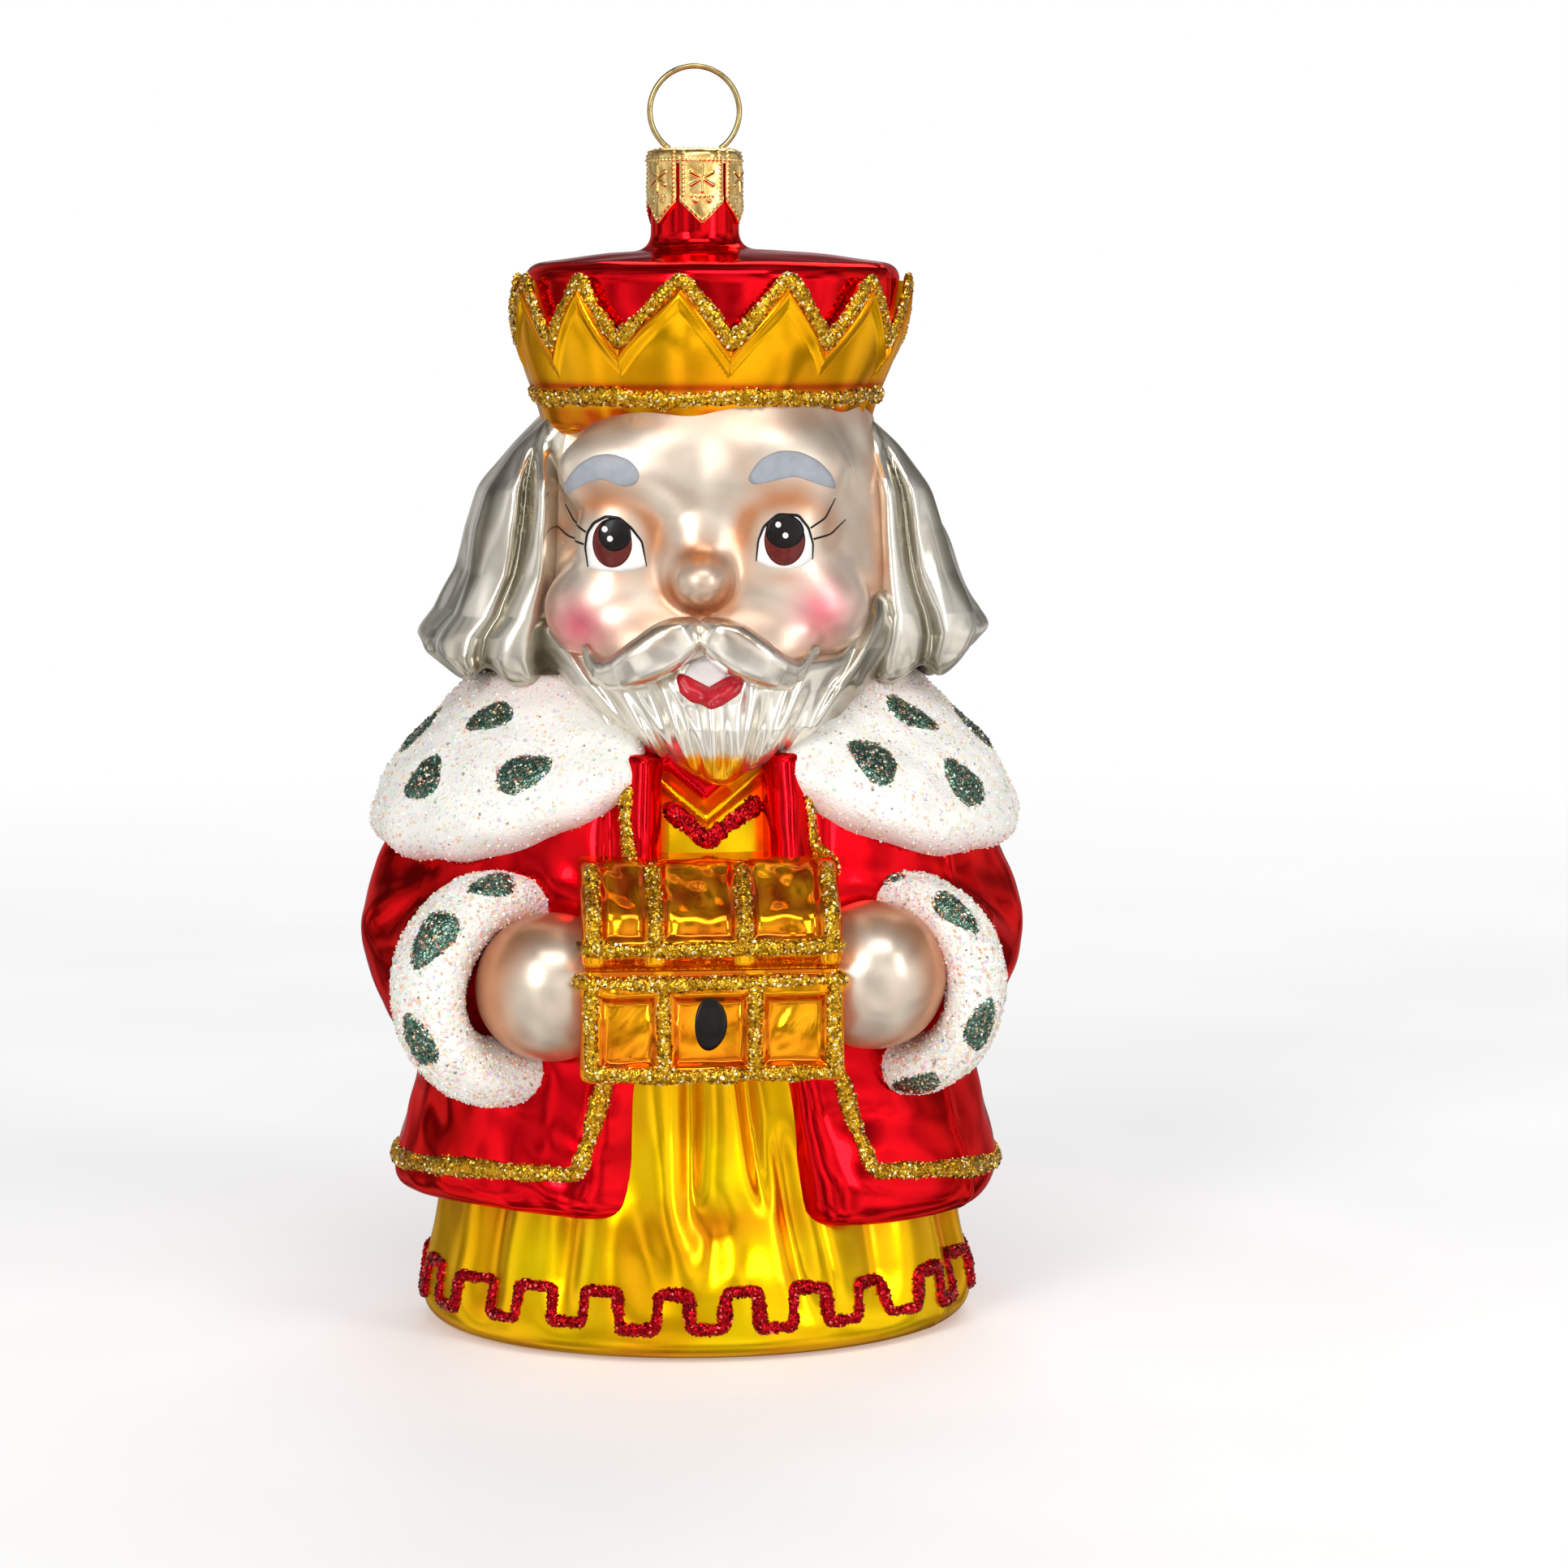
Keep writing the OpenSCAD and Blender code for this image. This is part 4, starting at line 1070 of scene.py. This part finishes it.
def hand_painted_shade(side):
    def paint(x, y, z):
        # Painted shade: each ball darkens in tan towards its rim, round a light middle set off towards the
        # figure's centre line.
        far = hyp(x - side * 14.2, z - 37.8 - 0.35 * side)
        return {"tan": np.clip(0.95 * step(far, 4.4, 7.6), 0, 1)}
    return paint


def crown_paint(x, y, z):
    t = angle(x - crown_x(z), y)
    rim = (zigzag(t) - z) * 0.72
    # Painted shade: edge is a thin dark line just under the points' trim and a painted shadow just above the
    # band. The wall is also darker and streaked below the band, and a little darker over its lower part.
    low = 0.9 * bump((z - 95.75) / 0.45) + (0.5 + 0.5 * waves((x, y, z), 4.5, 96)) * step(-z, -94.2, -93.2)
    patch = 0.14 * step(-z, -99, -95.5)
    return {"edge": np.clip(0.8 * bump((rim - 0.75) / 0.35) + low + patch, 0, 1)}


def gown_paint(x, y, z):
    t = angle(x, y)
    # Painted shade: deep in the gown's grooves, over its sides, along its foot and round the robe's hem. The
    # waves add a random tone.
    deep = sum(0.5 * bump(turned(t - a) / w) * step(z, low - 4, low + 3) * (1 - step(z, high - 4, high))
               for a, w, h, low, high in FOLDS if h < 0)
    side = 0.35 * step(np.abs(t), 45, 85)
    foot = 0.8 * step(-z, -2.4, 0.2)
    soft = 0.25 * step(waves((x, y, z), 9, 98), 0.1, 0.9)
    return {"deep": np.clip(deep + side + foot + soft + 0.35 * bump((z - 14) / 2.5), 0, 0.9)}


def collar_paint(x, y, z):
    edge = z - collar_low(angle(x, y))
    return {"pink": np.clip(0.75 * bump(edge / 1.6) + 0.4 * bump((z - 66) / 2), 0, 1)}


def cuff_paint(side):
    def paint(x, y, z):
        far = hyp(x - side * HAND_X, y - HAND_Y, z - HAND_Z)
        return {"pink": np.clip(0.8 * (1 - step(far, 7.2, 9)), 0, 1)}
    return paint


def chest_painted_shade(straps, rows):
    def paint(x, y, z):
        # Painted shade: edge darkens the panels where they meet the raised straps and rims, and deep is a
        # painted darker reflection over the lid's upper part, with random streaks.
        near = np.maximum(ribs(x, straps), np.max([bump((z - r) / 1.3) for r in rows], axis=0))
        lid = step(z, 42.8, 47.5) * (0.55 + 0.5 * waves((x, y * 0.6, z * 0.5), 3.5, 53))
        return {"edge": np.clip(0.8 * bump((near - 0.45) / 0.3), 0, 1), "deep": np.clip(lid, 0, 0.9)}
    return paint


# ---------------------------------------------------------------- the glass
zone("gown", gown_field, (-31, -27, -1), (31, 27, 61), 0.42, GOWN_GLASS, values=gown_paint)
zone("robe", robe_field, (-36.5, -28, 11), (36, 27, 61.5), 0.46, RED_GLASS,
     ["robe", "sleeve_left", "sleeve_right"])
zone("ermine_collar", collar_field, (-36, -27, 46), (36, 27, 68), 0.36, SNOW, values=collar_paint,
     crystals=15000)
for side, word in ((-1, "left"), (1, "right")):
    zone("cuff_" + word, lambda x, y, z, s=side: cuff_field(x, y, z, s), (20.4 * side - 14, -30, 23),
         (20.4 * side + 14, -6, 51), 0.26, SNOW, values=cuff_paint(side), crystals=7500)
    zone("hand_" + word, lambda x, y, z, s=side: hand_field(x, y, z, s), (15.9 * side - 9, -31, 29),
         (15.9 * side + 9, -12, 47), 0.22, SKIN_GLASS, values=hand_painted_shade(side))
zone("chest_box", chest_box_field, (-15, -32, 28), (14, -15, 41.5), 0.2, CHEST_GLASS,
     values=chest_painted_shade(BOX_STRAPS, (BOX_LOW_RIB, BOX_HIGH_RIB)))
zone("chest_lid", chest_lid_field, (-15, -32, 39), (14, -15, 51.5), 0.2, CHEST_GLASS,
     values=chest_painted_shade(LID_STRAPS, (LID_RIB,)))
zone("face", face_field, (-20, -25, 56), (20, 19, 96), 0.28, SKIN_GLASS, values=face_paint)
zone("beard", beard_field, (-20, -25, 55), (20, 19, 79), 0.22, HAIR_GLASS, values=beard_paint)
zone("moustache", moustache_field, (-14, -26, 64), (14, -10, 76), 0.16, HAIR_GLASS, values=moustache_painted_shade)
zone("hair", hair_field, (-32, -20, 63), (32, 23, 96), 0.34, HAIR_GLASS, values=hair_paint)
zone("crown_wall", crown_field, (-23, -23, 89), (23, 23, 108), 0.27, CROWN_GLASS, values=crown_paint)
zone("crown_cushion", cushion_field, (-22.5, -22.5, 91.5), (22.5, 22.5, 120), 0.3, RED_GLASS,
     ["crown_cushion", "neck"])
zone("cap", cap_field, (-5.4, -5.4, CAP_LOW - 0.4), (5.4, 5.4, CAP_TOP + 0.6), 0.085, CAP_GOLD, body="cap")
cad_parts["wire_hanger"].data.materials[0] = WIRE_GOLD


# ---------------------------------------------------------------- glitter
def crown_edge(t, z):
    t, z = np.asarray(t, float), np.asarray(z, float)
    x, y = np.sin(np.radians(t)), -np.cos(np.radians(t))
    r = crown_r(x, y, z)
    return np.stack([x * r + crown_x(z), y * r, z], 1), np.stack([x, y, 0 * x - 0.1], 1)


def in_degrees(points, radius):
    """Turns a path of (millimetres along, z) into (degrees, z)."""
    return np.stack([np.degrees(points[:, 0] / radius), points[:, 1]], 1)


DEGREE = math.radians(1) * 20.3          # the length of one degree round the crown's points
corners = []
for i in range(2 * CROWN_POINTS):
    even = CROWN_TURN + 360 / CROWN_POINTS * (i / 2 - CROWN_POINTS / 2)
    at = even
    for _ in range(20):
        at = even - uneven_points(at)
    corners.append((at, (VALLEY_Z, PEAK_Z)[i % 2] + 0.15))
corners.append((corners[0][0] + 360, corners[0][1]))
run = curve([(t * DEGREE, z) for t, z in corners], 0.25, 0.35)[:-1]
beads("crown_point_trim", [crown_edge(run[:, 0] / DEGREE, run[:, 1])], 0.74, 0.45, GOLD_GLITTER, 5, True)

turn = np.arange(-180, 180, 0.8)
height = BAND_Z + 0.18 * np.sin(np.radians(turn * 7)) + 0.1 * np.sin(turn)
band = from_round(crown_field, np.stack([turn, height], 1))
beads("crown_band_trim", [band], 0.78, 0.45, GOLD_GLITTER, 6, True)

HEM_WAVES, HEM_LOW, HEM_HIGH, HEM_R = 21, 3.5, 6.9, 25.5
wave = 2 * math.pi * HEM_R / HEM_WAVES
rng = np.random.default_rng(17)
hem = []
for i in range(HEM_WAVES):
    start = (i - HEM_WAVES / 2) / HEM_WAVES * 2 * math.pi * HEM_R + 1.2
    low, high = HEM_LOW + rng.uniform(-0.25, 0.25), HEM_HIGH + rng.uniform(-0.3, 0.3)
    w = wave * (0.5 + rng.uniform(-0.04, 0.04))
    hem += [(start + 0.12, low), (start + w - 0.15, low)]
    hem += [(start + w + 0.15, high), (start + wave - 0.15, high)]
hem = curve(hem + [(hem[0][0] + 2 * math.pi * HEM_R, hem[0][1])], 0.22, 0.3)[:-1]
beads("hem_braid", [from_round(gown_field, in_degrees(hem, HEM_R))], 0.62, 0.5, RED_GLITTER, 7, True, 12)

neckline = curve([(-4.3, 54.9), (-1.6, 52.6), (-0.3, 51.1), (1.2, 52.4), (5.2, 55.0)], 0.22, 0.3)
beads("neckline_braid", [from_front(gown_field, neckline)], 0.9, 0.45, RED_GLITTER, 8)

TRIM_R = 27
TRIMS = {
    "left": [(-26, 28.8), (-28.4, 24), (-31.2, 19.3), (-32.2, 18.7), (-37, 18.9), (-56, 18.6), (-78, 17.6),
            (-95, 17.3), (-135, 17.3), (-180, 17.4)],
    "right": [(31.5, 28.6), (34.5, 23.6), (37, 19.0), (38, 18.4), (42, 18.4), (60, 17.4), (80, 16.3),
             (95, 16.2), (135, 17.1), (180, 17.4)]}
LAPELS = {"left": [(-8.2, 57.2), (-8.4, 54), (-8.0, 49.6)],
          "right": [(9.8, 57), (9.9, 54.4), (10.2, 50.9), (11.6, 49.2), (12.1, 47.6)]}
for word, points in TRIMS.items():
    path = in_degrees(curve([(math.radians(t) * TRIM_R, z) for t, z in points], 0.25, 0.5), TRIM_R)
    beads("robe_trim_" + word, [from_round(robe_field, path)], 0.85, 0.5, GOLD_GLITTER, 9, dense=12)
    lapel = from_front(robe_field, curve(LAPELS[word], 0.25, 0.4))
    beads("lapel_trim_" + word, [lapel], 0.92, 0.5, GOLD_GLITTER, 10)


def chest_field(x, y, z):
    hands = np.minimum(hand_field(x, y, z, -1), hand_field(x, y, z, 1))
    return np.minimum(np.minimum(box_field(x, y, z), lid_field(x, y, z)), hands)


straps = [
    [(-13.2, 42.5), (-4, 42.3), (4, 42.5), (12.0, 42.6)],
    [(-13.9, 39.3), (-4, 39.0), (4, 39.2), (12.3, 39.3)],
    [(-12.8, 30.5), (-4, 30.0), (4, 30.2), (12.0, 30.3)]]
straps += [[(s, 49.9), (s + 0.1, 46), (s, 42.6)] for s in LID_STRAPS]
straps += [[(s, 39.0), (s - 0.1, 35), (s, 30.4)] for s in BOX_STRAPS]
straps = [from_front(chest_field, curve(points, 0.25, 0.3)) for points in straps]
beads("chest_straps", straps, 0.68, 0.5, GOLD_GLITTER, 11)


def oval(at, size, lean=0.0, seed=0, wild=0.08):
    """A hand-dabbed oval outline."""
    rng = np.random.default_rng(seed)
    turn = np.linspace(0, 2 * math.pi, 24, endpoint=False)
    r = 1 + wild * np.sin(2 * turn + rng.uniform(0, 6)) + wild * np.sin(3 * turn + rng.uniform(0, 6))
    u, v = size[0] * r * np.cos(turn), size[1] * r * np.sin(turn)
    c, s = math.cos(lean), math.sin(lean)
    return [(at[0] + a * c - b * s, at[1] + a * s + b * c) for a, b in zip(u, v)]


def spots(name, onto, places, seed):
    """Green glitter spots at places of (u, v, half width, half height, lean)."""
    parts = [dab(name, onto, oval((u, v), (a, b), lean, seed + i, 0.1), high=0.22,
                 flecks=int(math.pi * a * b * (17)), seed=seed + i)
             for i, (u, v, a, b, lean) in enumerate(places)]
    verts, faces, shade, flat = join(parts)
    place(make(name, verts, faces, GREEN_GLITTER, None, {"shade": shade}, flat), [name])


COLLAR_R, SPOT_SPREAD = 27, 1.14      # the glue spreads a little past the brush's marks
# Spots: angle round the collar or the cuff, height or place across it, half width, half height, lean.
COLLAR_SPOTS = [
    (-64.5, 63.0, 2.1, 1.3, 0.1), (-69.5, 56.9, 1.9, 1.7, 0.3), (-46.5, 58.1, 2.2, 1.7, 0.3),
    (-88, 60.8, 2, 1.8, 0.2), (63, 63.0, 2.0, 1.5, -0.3), (43, 59.0, 2.0, 2.0, -0.2),
    (63.5, 56.2, 1.9, 2.0, -0.2), (87, 60.6, 2, 1.8, -0.4), (-112, 56.4, 2, 1.8, 0.2),
    (-128, 62.2, 2.1, 1.8, 0), (-147, 56.8, 2, 1.9, 0.2), (-164, 62.6, 2.1, 1.7, 0),
    (112, 56.2, 2, 1.8, -0.2), (128, 62.0, 2.1, 1.8, 0), (147, 57.0, 2, 1.9, -0.2), (165, 62.2, 2, 1.7, 0),
    (179, 56.5, 2, 1.8, 0)]
spots("collar_spots", lambda flat: from_round(collar_field, in_degrees(np.asarray(flat), COLLAR_R)),
      [(math.radians(t) * COLLAR_R, z, a * SPOT_SPREAD, b * SPOT_SPREAD, lean)
       for t, z, a, b, lean in COLLAR_SPOTS], 20)


def onto_cuff(side):
    """Puts points of (millimetres round the cuff, millimetres across it) onto the cuff."""
    def onto(flat):
        u, v = np.asarray(flat, float).T
        out, up, along = (np.array(a, float) for a in cuff_axes(side))
        middle, r = CUFFS[side][:2]
        turn = (u / r)[:, None]
        ray = out * np.cos(turn) + up * np.sin(turn)
        roll = (0.75 + v / 4)[:, None]
        way = ray * np.cos(roll) + along * np.sin(roll)
        middle = np.array([side * middle, CUFF_Y, CUFF_Z]) + ray * r
        return cast(lambda x, y, z: cuff_field(x, y, z, side), middle + way * 8, -way)
    return onto


CUFF_SPOTS = {
    -1: [(78, 0, 2.1, 1.7, 0.1), (33, -0.2, 2.5, 2.0, 0), (-22, -1.2, 2.4, 1.9, 0.2)],
    1: [(98, -0.2, 2.1, 1.5, 0.1), (48, -0.4, 2.4, 1.8, 0.2), (-18, -0.6, 2.4, 1.9, 0),
        (-72, 0.6, 2.4, 1.7, 0.2)]}
for side, word in ((-1, "left"), (1, "right")):
    spots("cuff_spots_" + word, onto_cuff(side),
          [(math.radians(t) * CUFFS[side][1], v, a, b, lean) for t, v, a, b, lean in CUFF_SPOTS[side]], 40)


# ---------------------------------------------------------------- enamel
STROKE_HIGH, STROKE_LIFT = 0.1, 0.03


def ribbon(name, onto, points, widths, material, nodes):
    """A brush stroke along flat points, with a half width at each of them."""
    p = curve(points, 0.12, 0.2)
    w = np.interp(np.linspace(0, 1, len(p)), np.linspace(0, 1, len(widths)), widths)[:, None]
    along = np.gradient(p, axis=0)
    side = np.stack([-along[:, 1], along[:, 0]], 1) / np.linalg.norm(along, axis=1, keepdims=True)
    across = (-1, -0.6, 0, 0.6, 1)
    on = [onto(p + side * w * a) for a in across]
    top = [q + n * (STROKE_LIFT + STROKE_HIGH * np.minimum(w / 0.3, 1) * (1 - a * a))
           for (q, n), a in zip(on, across)]
    low = [q - n * 0.08 for q, n in on][::-1]
    verts = np.stack(top + low, 1).reshape(-1, 3)
    place(make(name, verts, loop_faces(len(p), 2 * len(across)), material), nodes)


def whole_head(x, y, z):
    return np.minimum(np.minimum(face_field(x, y, z), beard_field(x, y, z)), moustache_field(x, y, z))


def on_face(flat):
    return from_face(face_field, flat)


def on_head(flat):
    return from_face(whole_head, flat)


def on_box(flat):
    return from_front(box_field, flat)


# Half widths of the brush strokes, from end to end.
LINE_WIDTHS, LASH_WIDTHS = [0.06, 0.1, 0.14, 0.16, 0.14, 0.1, 0.05], [0.1, 0.09, 0.04]

EYES = {
    "left": {
        "line": [(-10.7, 78.3), (-10.95, 80.2), (-10.75, 81.6), (-10.1, 82.6), (-8.9, 83.25), (-7.6, 83.1),
                 (-6.4, 82.1), (-5.4, 80.8), (-4.95, 78.4)],
        "under": [(-6.2, 78.05), (-7.9, 77.85), (-9.5, 77.95)],
        "iris": ((-8.3, 80.65), (1.95, 2.4)), "pupil": ((-8.05, 81.5), (1.6, 1.62)),
        "glints": [(-9.0, 82.0), (-8.5, 81.1)],
        "lashes": [[(-10.9, 81.7), (-12.1, 82.5), (-13.0, 84.1)],
                   [(-11.1, 80.5), (-12.8, 81.0), (-14.3, 82.2)]],
        "brow": [(-13.5, 85.0), (-12.8, 86.8), (-11.6, 88.3), (-10.1, 89.2), (-8.3, 89.4), (-6.5, 88.8),
                 (-5.5, 87.5), (-5.8, 86.4), (-7.2, 86.1), (-9.2, 86.95), (-11.6, 86.3), (-12.9, 85.1)]},
    "right": {
        "line": [(5.75, 78.9), (5.95, 80.9), (6.5, 82.3), (7.9, 83.45), (9.9, 83.35), (10.9, 82.1),
                 (11.35, 80.5), (11.3, 79.0)],
        "under": [(10.2, 78.3), (8.6, 78.1), (6.9, 78.35)],
        "iris": ((8.53, 80.9), (2.04, 2.47)), "pupil": ((8.53, 81.8), (1.9, 1.64)),
        "glints": [(7.9, 82.45), (8.6, 81.4)],
        "lashes": [[(11.1, 82.1), (12.6, 83.0), (13.6, 84.9)],
                   [(11.4, 81.0), (13.2, 81.4), (14.7, 82.7)]],
        "brow": [(4.8, 87.0), (6.1, 88.9), (8.0, 89.7), (10.0, 89.6), (11.9, 88.7), (13.3, 87.2),
                 (13.8, 85.7), (12.0, 86.3), (9.6, 87.2), (7.2, 86.7), (5.3, 86.3)]}}
for word, eye in EYES.items():
    node = ["eye_" + word]
    dab("eye_white_" + word, on_face, eye["line"] + eye["under"], WHITE, node, 0.05, 0.01)
    dab("iris_" + word, on_face, oval(*eye["iris"], wild=0.01), BROWN, node, 0.07, 0.05)
    dab("pupil_" + word, on_face, oval(*eye["pupil"], wild=0.01), BLACK, node, 0.05, 0.12)
    for i, at in enumerate(eye["glints"]):
        glint = oval(at, (0.33, 0.33), wild=0.02)
        dab(f"glint_{word}_{i + 1}", on_face, glint, WHITE, node, 0.05, 0.17, rings=4, sink=-0.1)
    ribbon("eye_line_" + word, on_face, eye["line"], LINE_WIDTHS, BLACK, node)
    for i, lash in enumerate(eye["lashes"]):
        ribbon(f"lash_{word}_{i + 1}", on_face, lash, LASH_WIDTHS, BLACK, node)
    dab("eyebrow_" + word, on_face, eye["brow"], BROW, high=0.12, soft=0.45)

TEETH = [
    (-1.35, 68.1), (-0.6, 69.2), (0.5, 69.75), (1.8, 69.5), (2.9, 68.7), (2.8, 67.7), (2.0, 66.9),
    (1.1, 66.5), (-0.1, 66.7), (-0.95, 67.2)]
LIPS = [
    (-2.1, 67.5), (-1.75, 66.3), (-0.7, 65.4), (0.5, 65.1), (1.25, 64.7), (2.3, 65.0), (3.05, 65.5),
    (4.1, 66.2), (4.5, 67.1), (4.2, 67.95), (3.3, 68.0), (2.7, 67.4), (2.0, 66.75), (1.1, 66.45), (0, 66.6),
    (-0.9, 67.2), (-1.3, 68.0), (-1.9, 68.1)]
dab("teeth", on_head, TEETH, WHITE, high=0.2, lift=0.05)
dab("lips", on_head, LIPS, LIP_RED, high=0.28, lift=0.04)
dab("keyhole", on_box, oval((-0.75, 35.0), (1.55, 2.6), 0.0, 3, 0.03), BLACK, high=0.12)


# ---------------------------------------------------------------- the studio
def area(name, at, size, power):
    light = bpy.data.lights.new(name, "AREA")
    light.shape = "RECTANGLE"
    light.size, light.size_y = size
    light.energy = power
    obj = bpy.data.objects.new(name, light)
    obj.location = at
    obj.rotation_euler = (Vector((0, 0, 0.06)) - Vector(at)).to_track_quat("-Z", "Y").to_euler()
    obj.visible_camera = False
    bpy.context.scene.collection.objects.link(obj)


area("key", (-0.5, -0.95, 0.55), (0.3, 0.6), 4.4)
area("fill", (0.75, -0.8, 0.4), (0.22, 0.7), 2.4)
area("top", (0.1, -0.6, 0.9), (0.7, 0.3), 2.8)
area("back", (0.2, 0.75, 0.8), (0.7, 0.5), 3.2)

FLOOR_R = 0.5
floor_look = Look("studio_floor", roughness=0.7)
grain = floor_look.mix(floor_look.spread(floor_look.noise(60), 0, 1), rgb(236, 236, 236), rgb(242, 242, 242))
floor_look.put("Base Color", grain)
floor_look.put("Emission Color", grain)
floor_look.put("Emission Strength", 0.3)
distance = floor_look.node("ShaderNodeVectorMath", {0: floor_look.mm}, operation="LENGTH").outputs["Value"]
floor_look.put("Alpha", floor_look.spread(distance, 1, 0, FLOOR_R * 400, FLOOR_R * 1000))
bpy.ops.mesh.primitive_circle_add(vertices=96, radius=FLOOR_R, fill_type="NGON", location=(0, 0, -0.0002))
floor = bpy.context.object
floor.name = "studio_floor"
floor.data.materials.append(floor_look.mat)
floor.visible_glossy = False

world = bpy.data.worlds.new("studio")
bpy.context.scene.world = world
world.use_nodes = True
sky = world.node_tree
way = add(sky, "ShaderNodeTexCoord").outputs["Generated"]
axes = add(sky, "ShaderNodeSeparateXYZ", {0: way}).outputs
high = add(sky, "ShaderNodeMath", {0: axes["Z"], 1: 0.5, 2: 0.5}, operation="MULTIPLY_ADD").outputs[0]
FLOOR_TONE, HORIZON_TONE, TOP_TONE = (0.66, 0.64, 0.62, 1), (0.72, 0.71, 0.7, 1), (0.22, 0.22, 0.22, 1)
tone = ramp(sky, high, [(0.36, FLOOR_TONE), (0.5, HORIZON_TONE), (0.9, TOP_TONE)])
room = add(sky, "ShaderNodeTexNoise", {"Vector": way, "Scale": 2.6}).outputs[0]
uneven = spread(sky, room, 0.3, 1.7, 0.38, 0.62)
behind = spread(sky, axes["Y"], 1.15, 0.52, -0.4, 0.7)
dimmed = add(sky, "ShaderNodeMath", {0: uneven, 1: behind}, operation="MULTIPLY").outputs[0]
# The backdrop itself is plain white, and the room is only what the glass reflects.
seen = add(sky, "ShaderNodeLightPath").outputs["Is Camera Ray"]
back = sky.nodes["Background"]
sky.links.new(add(sky, "ShaderNodeMix", {0: seen, 2: dimmed, 3: 1}).outputs[0], back.inputs["Strength"])
backdrop = add(sky, "ShaderNodeMix", {0: seen, 6: tone, 7: (1, 1, 1, 1)}, data_type="RGBA").outputs[2]
sky.links.new(backdrop, back.inputs["Color"])

CAMERA_TURN, CAMERA_FAR, CAMERA_HIGH = -4, 0.45, 0.106
AIM_RIGHT, AIM_HIGH = 0.009, 0.0549
lens = bpy.data.cameras.new("camera")
lens.lens = 101.5
lens.sensor_width = 36
lens.clip_start = 0.01
camera = bpy.data.objects.new("camera", lens)
turn = math.radians(CAMERA_TURN)
camera.location = (CAMERA_FAR * math.sin(turn), -CAMERA_FAR * math.cos(turn), CAMERA_HIGH)
aim = Vector((AIM_RIGHT * math.cos(turn), AIM_RIGHT * math.sin(turn), AIM_HIGH))
camera.rotation_euler = (aim - camera.location).to_track_quat("-Z", "Y").to_euler()
bpy.context.scene.collection.objects.link(camera)
bpy.context.scene.camera = camera
bpy.context.scene.view_settings.view_transform = "Standard"
